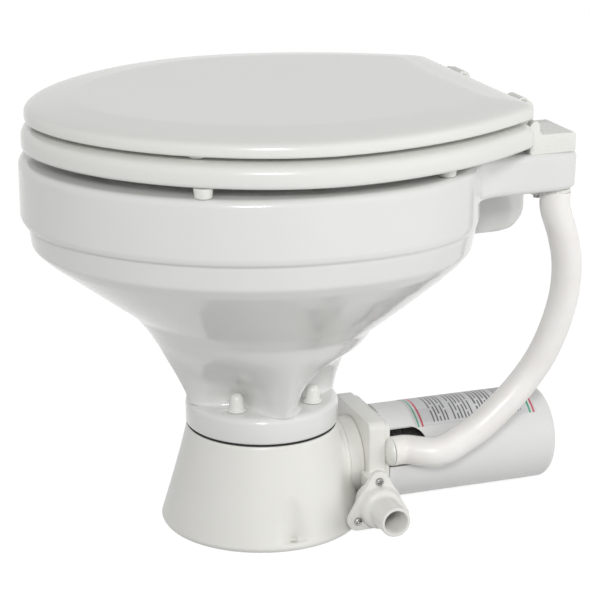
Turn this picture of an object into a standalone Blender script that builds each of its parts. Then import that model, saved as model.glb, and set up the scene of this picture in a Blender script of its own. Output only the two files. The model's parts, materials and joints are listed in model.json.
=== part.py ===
"""Electric marine toilet: ceramic bowl on a moulded base, with macerator pump, rinse pump and motor.

Metres, +Z up. The front of the bowl faces -Y, the motor points to +Y, and the discharge port and the
rinse hose are on the +X side. Every place below is measured from the vertical axis of the base, and
the empty called base_axis then puts the whole part's footprint round the world's origin.
"""
import math

import bmesh
import bpy
from mathutils import Matrix, Vector

# Clearances
GAP = 0.0003  # between pieces that touch
OVERRUN = 0.003  # how far a cutter runs past what it cuts
RUNNING_GAP = 0.0015  # between a turning piece and the chamber round it
MERGE_DISTANCE = 0.00001

# Base pedestal
BASE_FOOT_RADIUS = 0.0870
BASE_FOOT_EDGE = 0.0040
BASE_FOOT_TUCK = 0.0030
BASE_TOP_RADIUS = 0.0638
BASE_HEIGHT = 0.085
BASE_FLOOR = 0.008
BASE_TOP_PLATE = 0.009
BASE_WALL = 0.0085
BASE_BORE_RADIUS = 0.030
BASE_FLARE_POWER = 1.12
BASE_TURNS = 34
GROOVE_RADIUS = 0.0095
GROOVE_DEPTH = 0.0130
FLOOR_LUG_HEIGHT = 0.007
FLOOR_SCREW_RADIUS = 0.0035
PLATE_ROOM_HEIGHT = 0.0485

# Gasket and the bolts that hold the bowl down
GASKET_THICKNESS = 0.0009
GASKET_INSET = 0.0010
FOOT_BOLT_CIRCLE = 0.047
FOOT_BOLT_COUNT = 4
FOOT_BOLT_RADIUS = 0.0030
FOOT_BOLT_HEAD_RADIUS = 0.0060
FOOT_BOLT_HEAD_HEIGHT = 0.0045
CAP_WASHER_RADIUS = 0.0080
CAP_WASHER_HEIGHT = 0.0018
CAP_DOME_RADIUS = 0.0064
CAP_HEIGHT = 0.0150

# Bowl
FOOT_RADIUS = 0.0643
FOOT_HEIGHT = 0.0225
FOOT_EDGE = 0.0020
BOWL_RIM_Z = 0.3225
BOWL_HALF_WIDTH = 0.1769
BOWL_CENTRE_Y = 0.0038
BOWL_FRONT_LENGTH = 0.2010
BOWL_REAR_LENGTH = 0.1640
BOWL_FRONT_POWER = 1.95
BOWL_REAR_POWER = 2.5
BOWL_WALL = 0.009
RIM_WIDTH = 0.043
RIM_EDGE = 0.006
RIM_PLATE = 0.010
RIM_LIP = 0.010
RIM_LIP_DROP = 0.026
OUTLET_RADIUS = 0.026
POCKET_POWER = 1.3
BOWL_POINTS = 36
# Outside of the bowl: share of its height above the foot, then shares of the way out to the band at
# the front and at the rear
OUTSIDE_SHARES = (
    (0.047, 0.024, 0.024), (0.112, 0.073, 0.073), (0.183, 0.134, 0.134), (0.248, 0.187, 0.210),
    (0.316, 0.256, 0.265), (0.378, 0.336, 0.408), (0.440, 0.471, 0.541), (0.500, 0.600, 0.662),
    (0.562, 0.733, 0.789), (0.628, 0.874, 0.906), (0.665, 0.936, 0.955), (0.742, 0.955, 0.985),
    (0.772, 0.992, 0.996), (0.800, 1.000, 1.000), (0.920, 1.000, 1.000),
)
# The rings that the inside of the bowl follows, out of those above
INSIDE_ROWS = (13, 11, 9, 7, 5)
# How deep the pockets at the foot bolts are at those heights, as a share of the foot's radius
POCKET_SHARES = (0.470, 0.400, 0.215, 0.050)
POCKET_FOOT_SHARE = 0.455
# Inside of the sump below the cone: share of the height above the foot, share of the foot's radius
SUMP_SHARES = ((0.316, 1.360), (0.215, 1.000), (0.145, 0.700), (0.080, 0.490), (0.035, 0.415))

# Deck behind the bowl, and what hangs under it
DECK_HALF_WIDTH = 0.104
DECK_REACH = 0.0390  # from the hinge axis to the rear edge
DECK_STEP = 0.0008
DECK_THICKNESS = 0.033
DECK_SLOPE = 0.002
DECK_CORNER = 0.020
DECK_EDGE = 0.005
BOSS_HALF_WIDTH = 0.030
BOSS_SETBACK = 0.0140  # from the rear edge of the deck
BOSS_DROP = 0.050
BOSS_EDGE = 0.009
SPUD_X = 0.0830
SPUD_SETBACK = 0.0135
SPUD_FLANGE_RADIUS = 0.0120
SPUD_FLANGE = 0.0030
SPUD_LENGTH = 0.014
SPUD_BORE_RADIUS = 0.0065

# Seat and lid
SEAT_LIFT = 0.0085  # from the rim to the underside of the seat
SEAT_THICKNESS = 0.0199
LID_LIFT = 0.0030  # from the seat to the underside of the lid
LID_THICKNESS = 0.0164
LID_HALF_WIDTH = 0.1800
LID_CENTRE_Y = 0.0038
LID_FRONT_LENGTH = 0.1960
LID_REAR_LENGTH = 0.1889
LID_REAR_HALF_WIDTH = 0.1106
LID_FRONT_POWER = 1.80
LID_TAPER_POWER = 2.08
LID_CORNER = 0.016
LID_MARGIN = 0.040
LID_MARGIN_DROP = 0.0105
LID_EDGE = 0.0030
SEAT_OVERHANG = 0.0030  # how far the seat stands out past the lid
SEAT_REAR_INSET = 0.0010
SEAT_HOLE_HALF_WIDTH = 0.104
SEAT_HOLE_FRONT = 0.126
SEAT_HOLE_REAR = 0.118
SEAT_EDGE = 0.005
SEAT_CROWN = 0.0025
BUMPER_RADIUS = 0.0075
# Places of the bumpers, as shares of the lid's half width and front length
SEAT_BUMPER_SHARES = ((0.800, -0.500), (0.800, 0.500))
LID_BUMPER_SHARES = ((0.735, -0.500),)

# Hinges
HINGE_SETBACK = 0.0083  # from the lid's rear edge to the axis
HINGE_DROP = 0.0143  # axis below the top of the lid
PIN_RADIUS = 0.0032
KNUCKLE_RADIUS = 0.0062
POST_THICKNESS = 0.0096
POST_X = 0.0700
POST_WIDTH = 0.0085
SEAT_KNUCKLE_WIDTH = 0.0100
LID_KNUCKLE_WIDTH = 0.0120
LEAF_THICKNESS = 0.0024
LEAF_LENGTH = 0.0330
COVER_INNER_X = 0.050
COVER_OUTER_X = 0.1005
COVER_LENGTH = 0.0405
COVER_HEIGHT = 0.0160
COVER_EDGE = 0.0015
COVER_WALL = 0.0022
EAR_WIDTH = 0.0070
EAR_LENGTH = 0.0080
EAR_HEIGHT = 0.0273
HINGE_PLATE_THICKNESS = 0.0030
HINGE_BOLT_X = 0.0620
HINGE_BOLT_SETBACK = 0.0190  # behind the hinge axis
HINGE_BOLT_RADIUS = 0.0030
HINGE_BOLT_HEAD_RADIUS = 0.0055
HINGE_BOLT_HEAD_HEIGHT = 0.0028
HINGE_NUT_RADIUS = 0.0085
HINGE_NUT_HEIGHT = 0.0100

# Pump train, along +Y from the spigot of the base
PUMP_Z = 0.0435
SPIGOT_FACE_Y = 0.0680
SPIGOT_RADIUS = 0.0360
SPIGOT_FLARE = 0.0036
SPIGOT_BORE_RADIUS = 0.0240
HOUSING_RADIUS = 0.0345
HOUSING_LENGTH = 0.0124
CHAMBER_RADIUS = 0.0252
O_RING_RADIUS = 0.0277
O_RING_SECTION = 0.0009
PLATE_HALF_WIDTH = 0.0430
PLATE_TOP_Z = 0.0860
PLATE_BOTTOM_Z = 0.0035
PLATE_CORNER = 0.0080
PLATE_THICKNESS = 0.0150
PLATE_EDGE = 0.0012
PLATE_WEB = 0.0035
CHOKE_THICKNESS = 0.0021
CHOKE_SLOTS = 8
SHAFT_RADIUS = 0.0040
SEAL_RADIUS = 0.0085
THROUGH_BOLT_CIRCLE = 0.0315
THROUGH_BOLT_RADIUS = 0.0018
THROUGH_BOLT_HEAD_RADIUS = 0.0034
THROUGH_BOLT_HEAD = 0.0030
THROUGH_BOLT_GRIP = 0.0080
BLADE_THICKNESS = 0.0030
DISCHARGE_VANES = 6
VANE_THICKNESS = 0.0020
FLEX_VANES = 8
FLEX_RADIUS = 0.0180
FLEX_HUB_RADIUS = 0.0085
RINSE_PLATE = 0.0047
RINSE_BODY_RADIUS = 0.0260
RINSE_BODY_LENGTH = 0.0137
RINSE_COVER = 0.0020
BARB_X = 0.0415
BARB_Z = 0.0585
BARB_BOSS_RADIUS = 0.0118
BARB_RADIUS = 0.0086
BARB_LENGTH = 0.0130
BARB_BORE_RADIUS = 0.0065

# Discharge port, its flange facing +X
PORT_Y = 0.0785
PORT_Z = 0.0240
PORT_FLANGE_X = 0.0670
PORT_FLANGE = 0.0060
PORT_EDGE = 0.0010
PORT_SCREW_CIRCLE = 0.0220
PORT_LOBE_RADIUS = 0.0085
PORT_COLLAR_RADIUS = 0.0180
PORT_COLLAR_LENGTH = 0.0080
PORT_TUBE_RADIUS = 0.0128
PORT_END_X = 0.1100
PORT_BORE_RADIUS = 0.0098
PORT_NECK_X = 0.0530
PORT_NECK_RADIUS = 0.0140
NECK_PASSAGE_RADIUS = 0.0055
PORT_SCREW_RADIUS = 0.0014
PORT_SCREW_HEAD_RADIUS = 0.0034
PORT_SCREW_HEAD = 0.0020
PORT_SCREW_LENGTH = 0.0084
PORT_PAD = 0.0035
VALVE_LIP = 0.0016

# Motor and its cover
MOTOR_CASE_RADIUS = 0.0300
MOTOR_CASE_WALL = 0.0022
END_BELL_LENGTH = 0.0090
BEARING_RADIUS = 0.0095
BEARING_WIDTH = 0.0060
ARMATURE_RADIUS = 0.0240
ARMATURE_LENGTH = 0.0620
COMMUTATOR_RADIUS = 0.0110
COMMUTATOR_LENGTH = 0.0140
COVER_RADIUS = 0.0410
COVER_THICKNESS = 0.0025
COVER_END_Y = 0.2600
COVER_END_ROUND = 0.0080
NOTCH_LENGTH = 0.0360
NOTCH_HALF_WIDTH = 0.0150

# Rinse hose, from the barb up to the spud under the deck
HOSE_RADIUS = 0.0125
HOSE_BORE_RADIUS = 0.0096
HOSE_SIDES = 10
# Points of its route, as shares of the way from the barb's end to the spud's end along X, Y and Z
HOSE_ROUTE_SHARES = (
    (0.145, 0.091, -0.002), (0.282, 0.184, -0.005), (0.316, 0.283, 0.005),
    (0.316, 0.389, 0.031), (0.313, 0.572, 0.085), (0.320, 0.780, 0.178),
    (0.361, 0.945, 0.279), (0.458, 1.053, 0.384), (0.566, 1.134, 0.515),
    (0.699, 1.163, 0.645), (0.819, 1.144, 0.774), (0.928, 1.080, 0.892),
)

# Worked out from the sizes above
HINGE_Y = LID_CENTRE_Y + LID_REAR_LENGTH + HINGE_SETBACK
DECK_REAR_Y = HINGE_Y + DECK_REACH
BOSS_REAR_Y = DECK_REAR_Y - BOSS_SETBACK
SPUD_Y = DECK_REAR_Y - SPUD_SETBACK
HINGE_BOLT_Y = HINGE_Y + HINGE_BOLT_SETBACK
COVER_FRONT_Y = HINGE_Y - POST_THICKNESS / 2 - 2 * GAP - COVER_WALL
COVER_REAR_Y = COVER_FRONT_Y + COVER_LENGTH
FOOT_Z = BASE_HEIGHT + GAP + GASKET_THICKNESS + GAP
FOOT_TOP_Z = FOOT_Z + FOOT_HEIGHT
RISE = BOWL_RIM_Z - FOOT_TOP_Z
SEAT_Z = BOWL_RIM_Z + SEAT_LIFT
SEAT_TOP_Z = SEAT_Z + SEAT_THICKNESS
LID_Z = SEAT_TOP_Z + LID_LIFT
LID_TOP_Z = LID_Z + LID_THICKNESS
HINGE_Z = LID_TOP_Z - HINGE_DROP
DECK_TOP_Z = BOWL_RIM_Z - DECK_STEP
DECK_UNDER_Z = BOWL_RIM_Z - DECK_THICKNESS
FRONT_REACH = BOWL_FRONT_LENGTH - BOWL_CENTRE_Y
BASE_Y = (FRONT_REACH - COVER_END_Y) / 2
HOUSING_Y = SPIGOT_FACE_Y + GAP
PLATE_Y = HOUSING_Y + HOUSING_LENGTH + GAP
PLATE_REAR_Y = PLATE_Y + PLATE_THICKNESS
RINSE_Y = PLATE_REAR_Y + GAP
RINSE_COVER_Y = RINSE_Y + RINSE_BODY_LENGTH + GAP
BELL_Y = RINSE_COVER_Y + RINSE_COVER + GAP
CASE_Y = BELL_Y + END_BELL_LENGTH + GAP
COVER_Y = RINSE_Y + RINSE_PLATE + GAP
ARMATURE_Y = CASE_Y + BEARING_WIDTH + RUNNING_GAP
COMMUTATOR_Y = ARMATURE_Y + ARMATURE_LENGTH + RUNNING_GAP
REAR_BEARING_Y = COMMUTATOR_Y + COMMUTATOR_LENGTH + BEARING_WIDTH
CASE_END_Y = REAR_BEARING_Y + BEARING_WIDTH + GAP + MOTOR_CASE_WALL

part_collection = None
cutter_collection = None
anchors = {}


def clear_scene():
    """Remove what the scene holds."""
    for item in list(bpy.data.objects):
        bpy.data.objects.remove(item, do_unlink=True)


def new_collection(name):
    collection = bpy.data.collections.new(name)
    bpy.context.scene.collection.children.link(collection)
    return collection


def new_anchor(name, place, parent=None):
    """Add an empty that pieces hang from, with its place given from the base axis."""
    anchor = bpy.data.objects.new(name, None)
    anchor.empty_display_size = BASE_TOP_RADIUS
    anchor.location = place
    if parent is not None:
        anchor.parent = parent
    part_collection.objects.link(anchor)
    anchors[name] = anchor


def material(name, colour, roughness, metallic=0.0):
    """Make one piece's own Principled material."""
    made = bpy.data.materials.new(name)
    made.use_nodes = True
    shader = made.node_tree.nodes["Principled BSDF"]
    shader.inputs["Base Color"].default_value = (*colour, 1.0)
    shader.inputs["Roughness"].default_value = roughness
    shader.inputs["Metallic"].default_value = metallic
    return made


FINISHES = {
    "ceramic": ((0.80, 0.80, 0.78), 0.12, 0.0),
    "enamel": ((0.82, 0.82, 0.78), 0.20, 0.0),
    "plastic": ((0.78, 0.78, 0.74), 0.35, 0.0),
    "rubber": ((0.02, 0.02, 0.02), 0.70, 0.0),
    "hose": ((0.74, 0.73, 0.69), 0.45, 0.0),
    "steel": ((0.55, 0.55, 0.54), 0.28, 1.0),
    "copper": ((0.60, 0.30, 0.14), 0.35, 1.0),
    "painted": ((0.76, 0.76, 0.74), 0.30, 0.0),
}


def add_piece(name, mesh, finish, anchor="base_axis"):
    """Put a mesh into the part under an anchor, its own coordinates kept from the base axis."""
    piece = bpy.data.objects.new(name, mesh)
    piece.parent = anchors[anchor]
    piece.location = -Vector(anchors[anchor].location)
    if anchor == "base_axis":
        piece.location = (0.0, 0.0, 0.0)
    colour, roughness, metallic = FINISHES[finish]
    mesh.materials.clear()
    mesh.materials.append(material(name, colour, roughness, metallic))
    part_collection.objects.link(piece)
    return piece


def add_cutter(name, mesh):
    """Put a mesh among the cutters, which are never part of the model."""
    cutter = bpy.data.objects.new(name, mesh)
    cutter.parent = anchors["base_axis"]
    cutter.hide_render = True
    cutter.display_type = "WIRE"
    cutter_collection.objects.link(cutter)
    return cutter


def change(piece, cutter, operation):
    step = piece.modifiers.new(cutter.name, "BOOLEAN")
    step.operation = operation
    step.solver = "EXACT"
    step.object = cutter


def cut(piece, *cutters):
    for cutter in cutters:
        change(piece, cutter, "DIFFERENCE")


def join(piece, *tools):
    for tool in tools:
        change(piece, tool, "UNION")


def bake(item):
    """Turn an object's modifiers into its mesh, with its vertices in the base axis frame."""
    bpy.context.view_layer.update()
    graph = bpy.context.evaluated_depsgraph_get()
    mesh = bpy.data.meshes.new_from_object(item.evaluated_get(graph))
    mesh.transform(item.matrix_local)
    bpy.data.objects.remove(item, do_unlink=True)
    return mesh


def weld(mesh):
    """Join vertices that lie on each other, and point the faces out."""
    work = bmesh.new()
    work.from_mesh(mesh)
    bmesh.ops.remove_doubles(work, verts=work.verts, dist=MERGE_DISTANCE)
    bmesh.ops.recalc_face_normals(work, faces=work.faces)
    work.to_mesh(mesh)
    work.free()
    return mesh


def shade(mesh, angle=40.0):
    mesh.shade_smooth()
    mesh.set_sharp_from_angle(angle=math.radians(angle))
    return mesh


# Where the local +Z of a turned or extruded shape points
TO_X = Matrix.Rotation(math.radians(90.0), 4, "Y")
TO_Y = Matrix.Rotation(math.radians(-90.0), 4, "X")
TO_Z = Matrix.Identity(4)
PUMP_FRAME = Matrix.Translation((0.0, 0.0, PUMP_Z)) @ TO_Y


def turned(profile, frame=TO_Z, turns=24, closed=False):
    """Turn a profile of (radius, height) points, outer side from top to bottom, with a Screw modifier."""
    mesh = bpy.data.meshes.new("profile")
    count = len(profile)
    edges = [(index, index + 1) for index in range(count - 1)]
    if closed:
        edges.append((count - 1, 0))
    mesh.from_pydata([(radius, 0.0, height) for radius, height in profile], edges, [])
    item = bpy.data.objects.new("profile", mesh)
    cutter_collection.objects.link(item)
    screw = item.modifiers.new("turn", "SCREW")
    screw.axis = "Z"
    screw.angle = math.tau
    screw.steps = turns
    screw.render_steps = turns
    screw.use_merge_vertices = True
    screw.merge_threshold = MERGE_DISTANCE
    result = weld(bake(item))
    result.transform(frame)
    return shade(result)


def disc(radius, low, high, frame=TO_Z, turns=20):
    return turned([(0.0, high), (radius, high), (radius, low), (0.0, low)], frame, turns)


def ring(inner, outer, low, high, frame=TO_Z, turns=20):
    corners = [(outer, high), (outer, low), (inner, low), (inner, high)]
    return turned(corners, frame, turns, closed=True)


def box(low, high, bevel=0.0, segments=1):
    """A box between two corners, with its edges rounded."""
    low, high = Vector(low), Vector(high)
    work = bmesh.new()
    bmesh.ops.create_cube(work, size=1.0)
    bmesh.ops.scale(work, vec=high - low, verts=work.verts)
    bmesh.ops.translate(work, vec=(low + high) / 2, verts=work.verts)
    if bevel > 0:
        bmesh.ops.bevel(work, geom=work.edges[:], offset=bevel, segments=segments, profile=0.5,
                        affect="EDGES", clamp_overlap=True)
    mesh = bpy.data.meshes.new("box")
    work.to_mesh(mesh)
    work.free()
    return shade(mesh)


def slab(outline, low, high, frame=TO_Z, bevel=0.0, segments=1):
    """A flat outline as a filled 2D curve, extruded between two heights."""
    curve = bpy.data.curves.new("outline", "CURVE")
    curve.dimensions = "2D"
    curve.fill_mode = "BOTH"
    curve.extrude = (high - low) / 2
    spline = curve.splines.new("POLY")
    spline.points.add(len(outline) - 1)
    for point, (across, along) in zip(spline.points, outline):
        point.co = (across, along, 0.0, 1.0)
    spline.use_cyclic_u = True
    item = bpy.data.objects.new("outline", curve)
    item.location = (0.0, 0.0, (low + high) / 2)
    cutter_collection.objects.link(item)
    mesh = weld(bake(item))
    if bevel > 0:
        work = bmesh.new()
        work.from_mesh(mesh)
        bmesh.ops.dissolve_limit(work, angle_limit=math.radians(1.0), verts=work.verts, edges=work.edges)
        rims = [edge for edge in work.edges if edge.calc_face_angle(0.0) > math.radians(60.0)]
        bmesh.ops.bevel(work, geom=rims, offset=bevel, segments=segments, profile=0.5, affect="EDGES")
        bmesh.ops.triangulate(work, faces=[face for face in work.faces if len(face.verts) > 4])
        work.to_mesh(mesh)
        work.free()
    mesh.transform(frame)
    return shade(mesh)


def loft(rings, cap=False):
    """Skin closed rings of points. The last ring meets the first one, unless both ends are capped."""
    work = bmesh.new()
    rows = [[work.verts.new(point) for point in points] for points in rings]
    pairs = list(zip(rows, rows[1:]))
    if cap:
        work.faces.new(rows[0])
        work.faces.new(rows[-1])
    else:
        pairs.append((rows[-1], rows[0]))
    for row, above in pairs:
        for index in range(len(row)):
            after = (index + 1) % len(row)
            work.faces.new((row[index], row[after], above[after], above[index]))
    bmesh.ops.recalc_face_normals(work, faces=work.faces)
    mesh = bpy.data.meshes.new("loft")
    work.to_mesh(mesh)
    work.free()
    return shade(mesh)


def on_circle(radius, count, start=0.0):
    """Evenly spaced points on a circle."""
    angles = [start + math.tau * index / count for index in range(count)]
    return [(radius * math.cos(angle), radius * math.sin(angle)) for angle in angles]


def rounded_rectangle(left, right, bottom, top, corner, steps=4):
    """Outline of a rectangle with round corners, anticlockwise."""
    points = []
    centres = ((right - corner, top - corner), (left + corner, top - corner),
               (left + corner, bottom + corner), (right - corner, bottom + corner))
    for quarter, (across, up) in enumerate(centres):
        for step in range(steps + 1):
            angle = math.pi / 2 * (quarter + step / steps)
            points.append((across + corner * math.cos(angle), up + corner * math.sin(angle)))
    return points


# Base pedestal
def base_radius(height):
    share = 1.0 - height / BASE_HEIGHT
    return BASE_TOP_RADIUS + (BASE_FOOT_RADIUS - BASE_TOP_RADIUS) * share ** BASE_FLARE_POWER


def make_base():
    """Cone with a waste chamber, a top plate, a side spigot and a floor screw in each side groove."""
    steps = 6
    rise = BASE_HEIGHT - BASE_FOOT_EDGE
    heights = [BASE_FOOT_EDGE + rise * (1.0 - step / steps) for step in range(steps + 1)]
    wall = [(base_radius(height), height) for height in heights]
    wall.append((BASE_FOOT_RADIUS - BASE_FOOT_TUCK, 0.0))
    base = add_piece("base", turned([(0.0, BASE_HEIGHT), *wall, (0.0, 0.0)], TO_Z, BASE_TURNS), "enamel")
    flare_y = SPIGOT_FACE_Y - 2 * SPIGOT_FLARE
    face_tool = SPIGOT_FACE_Y + OVERRUN
    spigot = [(0.0, face_tool), (SPIGOT_RADIUS, face_tool), (SPIGOT_RADIUS, SPIGOT_FACE_Y - SPIGOT_FLARE / 2),
              (SPIGOT_RADIUS + SPIGOT_FLARE, flare_y), (SPIGOT_RADIUS + SPIGOT_FLARE, 0.0), (0.0, 0.0)]
    join(base, add_cutter("spigot_tool", turned(spigot, PUMP_FRAME, BASE_TURNS)))

    chamber_radius = BASE_TOP_RADIUS - BASE_WALL
    ceiling = BASE_HEIGHT - BASE_TOP_PLATE
    bore = [(0.0, BASE_HEIGHT + OVERRUN), (BASE_BORE_RADIUS, BASE_HEIGHT + OVERRUN),
            (BASE_BORE_RADIUS, ceiling), (chamber_radius, ceiling), (chamber_radius, BASE_FLOOR),
            (0.0, BASE_FLOOR)]
    cut(base, add_cutter("waste_chamber", turned(bore, TO_Z, BASE_TURNS)))
    cut(base, add_cutter("spigot_bore", disc(SPIGOT_BORE_RADIUS, 0.0, SPIGOT_FACE_Y + OVERRUN, PUMP_FRAME)))

    room = SPIGOT_RADIUS + RUNNING_GAP
    reach = BASE_FOOT_RADIUS + OVERRUN
    cut(base, add_cutter("housing_room", disc(room, SPIGOT_FACE_Y, reach, PUMP_FRAME, BASE_TURNS)))
    side = PLATE_HALF_WIDTH + RUNNING_GAP
    cut(base, add_cutter("plate_room", box((-side, PLATE_Y - RUNNING_GAP, -OVERRUN),
                                           (side, reach, PLATE_ROOM_HEIGHT))))
    for angle in bolt_angles():
        hole = disc(FOOT_BOLT_RADIUS + GAP, ceiling - OVERRUN, BASE_HEIGHT + OVERRUN, TO_Z, 10)
        hole.transform(Matrix.Translation(on_bolt_circle(angle)))
        cut(base, add_cutter("base_bolt_hole", hole))
    for place in through_bolt_places():
        hole = disc(THROUGH_BOLT_RADIUS + GAP, SPIGOT_FACE_Y - THROUGH_BOLT_GRIP - GAP,
                    SPIGOT_FACE_Y + OVERRUN, PUMP_FRAME, 8)
        hole.transform(Matrix.Translation(place))
        cut(base, add_cutter("spigot_bolt_hole", hole))
    for side in (-1, 1):
        inner = BASE_FOOT_RADIUS - GROOVE_DEPTH
        groove = disc(GROOVE_RADIUS, FLOOR_LUG_HEIGHT, BASE_HEIGHT, TO_Z, 20)
        groove.transform(Matrix.Translation((side * (inner + GROOVE_RADIUS), 0.0, 0.0)))
        cut(base, add_cutter("groove", groove))
        hole = disc(FLOOR_SCREW_RADIUS, -OVERRUN, FLOOR_LUG_HEIGHT + OVERRUN, TO_Z, 16)
        hole.transform(Matrix.Translation((side * (inner + 1.3 * FLOOR_SCREW_RADIUS), 0.0, 0.0)))
        cut(base, add_cutter("floor_screw_hole", hole))


def bolt_angles():
    return [math.tau * (index + 0.5) / FOOT_BOLT_COUNT for index in range(FOOT_BOLT_COUNT)]


def on_bolt_circle(angle):
    return (FOOT_BOLT_CIRCLE * math.cos(angle), FOOT_BOLT_CIRCLE * math.sin(angle), 0.0)


def make_gasket():
    low = BASE_HEIGHT + GAP
    sheet = ring(BASE_BORE_RADIUS + GASKET_INSET, BASE_TOP_RADIUS - GASKET_INSET, low,
                 low + GASKET_THICKNESS, TO_Z, BASE_TURNS)
    gasket = add_piece("base_gasket", sheet, "rubber")
    for angle in bolt_angles():
        hole = disc(FOOT_BOLT_RADIUS + GAP, low - OVERRUN, low + OVERRUN, TO_Z, 10)
        hole.transform(Matrix.Translation(on_bolt_circle(angle)))
        cut(gasket, add_cutter("gasket_bolt_hole", hole))


def make_foot_bolts():
    """Bolts up from the waste chamber, each under a domed cap nut with its washer moulded on."""
    under_plate = BASE_HEIGHT - BASE_TOP_PLATE - GAP
    shank_top = FOOT_TOP_Z + 0.6 * CAP_HEIGHT
    bolt = turned([(0.0, shank_top), (FOOT_BOLT_RADIUS, shank_top), (FOOT_BOLT_RADIUS, under_plate),
                   (FOOT_BOLT_HEAD_RADIUS, under_plate),
                   (FOOT_BOLT_HEAD_RADIUS, under_plate - FOOT_BOLT_HEAD_HEIGHT),
                   (0.0, under_plate - FOOT_BOLT_HEAD_HEIGHT)], TO_Z, 12)
    low = FOOT_TOP_Z + GAP
    top = low + CAP_HEIGHT
    washer_top = low + CAP_WASHER_HEIGHT
    hole = FOOT_BOLT_RADIUS + GAP
    straight = washer_top + 0.45 * (CAP_HEIGHT - CAP_WASHER_HEIGHT)
    dome = []
    for step in range(5):
        angle = math.pi / 2 * (1.0 - step / 4)
        dome.append((CAP_DOME_RADIUS * math.cos(angle), straight + (top - straight) * math.sin(angle)))
    cap = turned([*dome, (CAP_DOME_RADIUS * 1.04, washer_top), (CAP_WASHER_RADIUS, washer_top),
                  (CAP_WASHER_RADIUS, low), (hole, low), (hole, shank_top + GAP),
                  (0.0, shank_top + GAP)], TO_Z, 14)
    for number, angle in enumerate(bolt_angles(), start=1):
        for name, mesh, finish in (("foot_bolt", bolt, "steel"), ("foot_cap", cap, "plastic")):
            piece = add_piece(f"{name}_{number}", mesh.copy(), finish)
            piece.location = on_bolt_circle(angle)


# Bowl
def band_radius(angle):
    """Radius of the bowl's widest band round its own centre: a blunt egg."""
    rear = math.sin(angle) > 0
    power = BOWL_REAR_POWER if rear else BOWL_FRONT_POWER
    length = BOWL_REAR_LENGTH if rear else BOWL_FRONT_LENGTH
    across = abs(math.cos(angle)) / BOWL_HALF_WIDTH
    along = abs(math.sin(angle)) / length
    return (across ** power + along ** power) ** (-1.0 / power)


def bowl_ring(front_share, rear_share, height, inward=0.0, pocket_share=0.0):
    """One ring of the bowl: round at the foot, egg shaped at the band, drawn in at the foot bolts."""
    points = []
    for index in range(BOWL_POINTS):
        angle = math.tau * index / BOWL_POINTS
        share = front_share + (rear_share - front_share) * (1.0 + math.sin(angle)) / 2
        radius = FOOT_RADIUS + (band_radius(angle) - FOOT_RADIUS) * share - inward
        radius -= FOOT_RADIUS * pocket_share * abs(math.sin(2 * angle)) ** POCKET_POWER
        points.append((radius * math.cos(angle), radius * math.sin(angle) + BOWL_CENTRE_Y * share, height))
    return points


def round_ring(radius, height):
    return [(across, along, height) for across, along in on_circle(radius, BOWL_POINTS)]


def band_ring(height, inward):
    """A ring of the bowl's widest band, or one drawn in from it."""
    return bowl_ring(1.0, 1.0, height, inward)


def outside_rings():
    rings = [round_ring(FOOT_RADIUS - FOOT_EDGE, FOOT_Z), round_ring(FOOT_RADIUS, FOOT_Z + FOOT_EDGE),
             round_ring(FOOT_RADIUS, FOOT_TOP_Z - FOOT_EDGE),
             round_ring(FOOT_RADIUS - FOOT_EDGE / 2, FOOT_TOP_Z),
             bowl_ring(0.0, 0.0, FOOT_TOP_Z, FOOT_EDGE, POCKET_FOOT_SHARE)]
    for index, (height_share, front, rear) in enumerate(OUTSIDE_SHARES):
        pocket = POCKET_SHARES[index] if index < len(POCKET_SHARES) else 0.0
        rings.append(bowl_ring(front, rear, FOOT_TOP_Z + RISE * height_share, 0.0, pocket))
    rings.append(band_ring(BOWL_RIM_Z - RIM_EDGE, 0.0))
    rings.append(band_ring(BOWL_RIM_Z - 0.3 * RIM_EDGE, 0.3 * RIM_EDGE))
    rings.append(band_ring(BOWL_RIM_Z, RIM_EDGE))
    return rings


def inside_rings():
    """Rim with its open rinse channel, the inside of the bowl, and the outlet down through the foot."""
    lip = RIM_WIDTH - RIM_LIP
    rings = [band_ring(BOWL_RIM_Z, RIM_WIDTH - 0.6 * RIM_EDGE),
             band_ring(BOWL_RIM_Z - 0.6 * RIM_EDGE, RIM_WIDTH),
             band_ring(BOWL_RIM_Z - RIM_LIP_DROP, RIM_WIDTH),
             band_ring(BOWL_RIM_Z - RIM_LIP_DROP, lip),
             band_ring(BOWL_RIM_Z - RIM_PLATE, lip),
             band_ring(BOWL_RIM_Z - RIM_PLATE, BOWL_WALL)]
    for row in INSIDE_ROWS:
        height_share, front, rear = OUTSIDE_SHARES[row]
        rings.append(bowl_ring(front, rear, FOOT_TOP_Z + RISE * height_share, BOWL_WALL))
    for height_share, share in SUMP_SHARES:
        rings.append(round_ring(FOOT_RADIUS * share, FOOT_TOP_Z + RISE * height_share))
    rings.append(round_ring(OUTLET_RADIUS, FOOT_TOP_Z))
    rings.append(round_ring(OUTLET_RADIUS, FOOT_Z))
    return rings


def deck_front(across):
    """Where the deck starts, half way into the wall of the bowl's band."""
    share = 1.0 - (abs(across) / BOWL_HALF_WIDTH) ** BOWL_REAR_POWER
    return BOWL_CENTRE_Y + BOWL_REAR_LENGTH * share ** (1.0 / BOWL_REAR_POWER) - BOWL_WALL / 2


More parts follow.
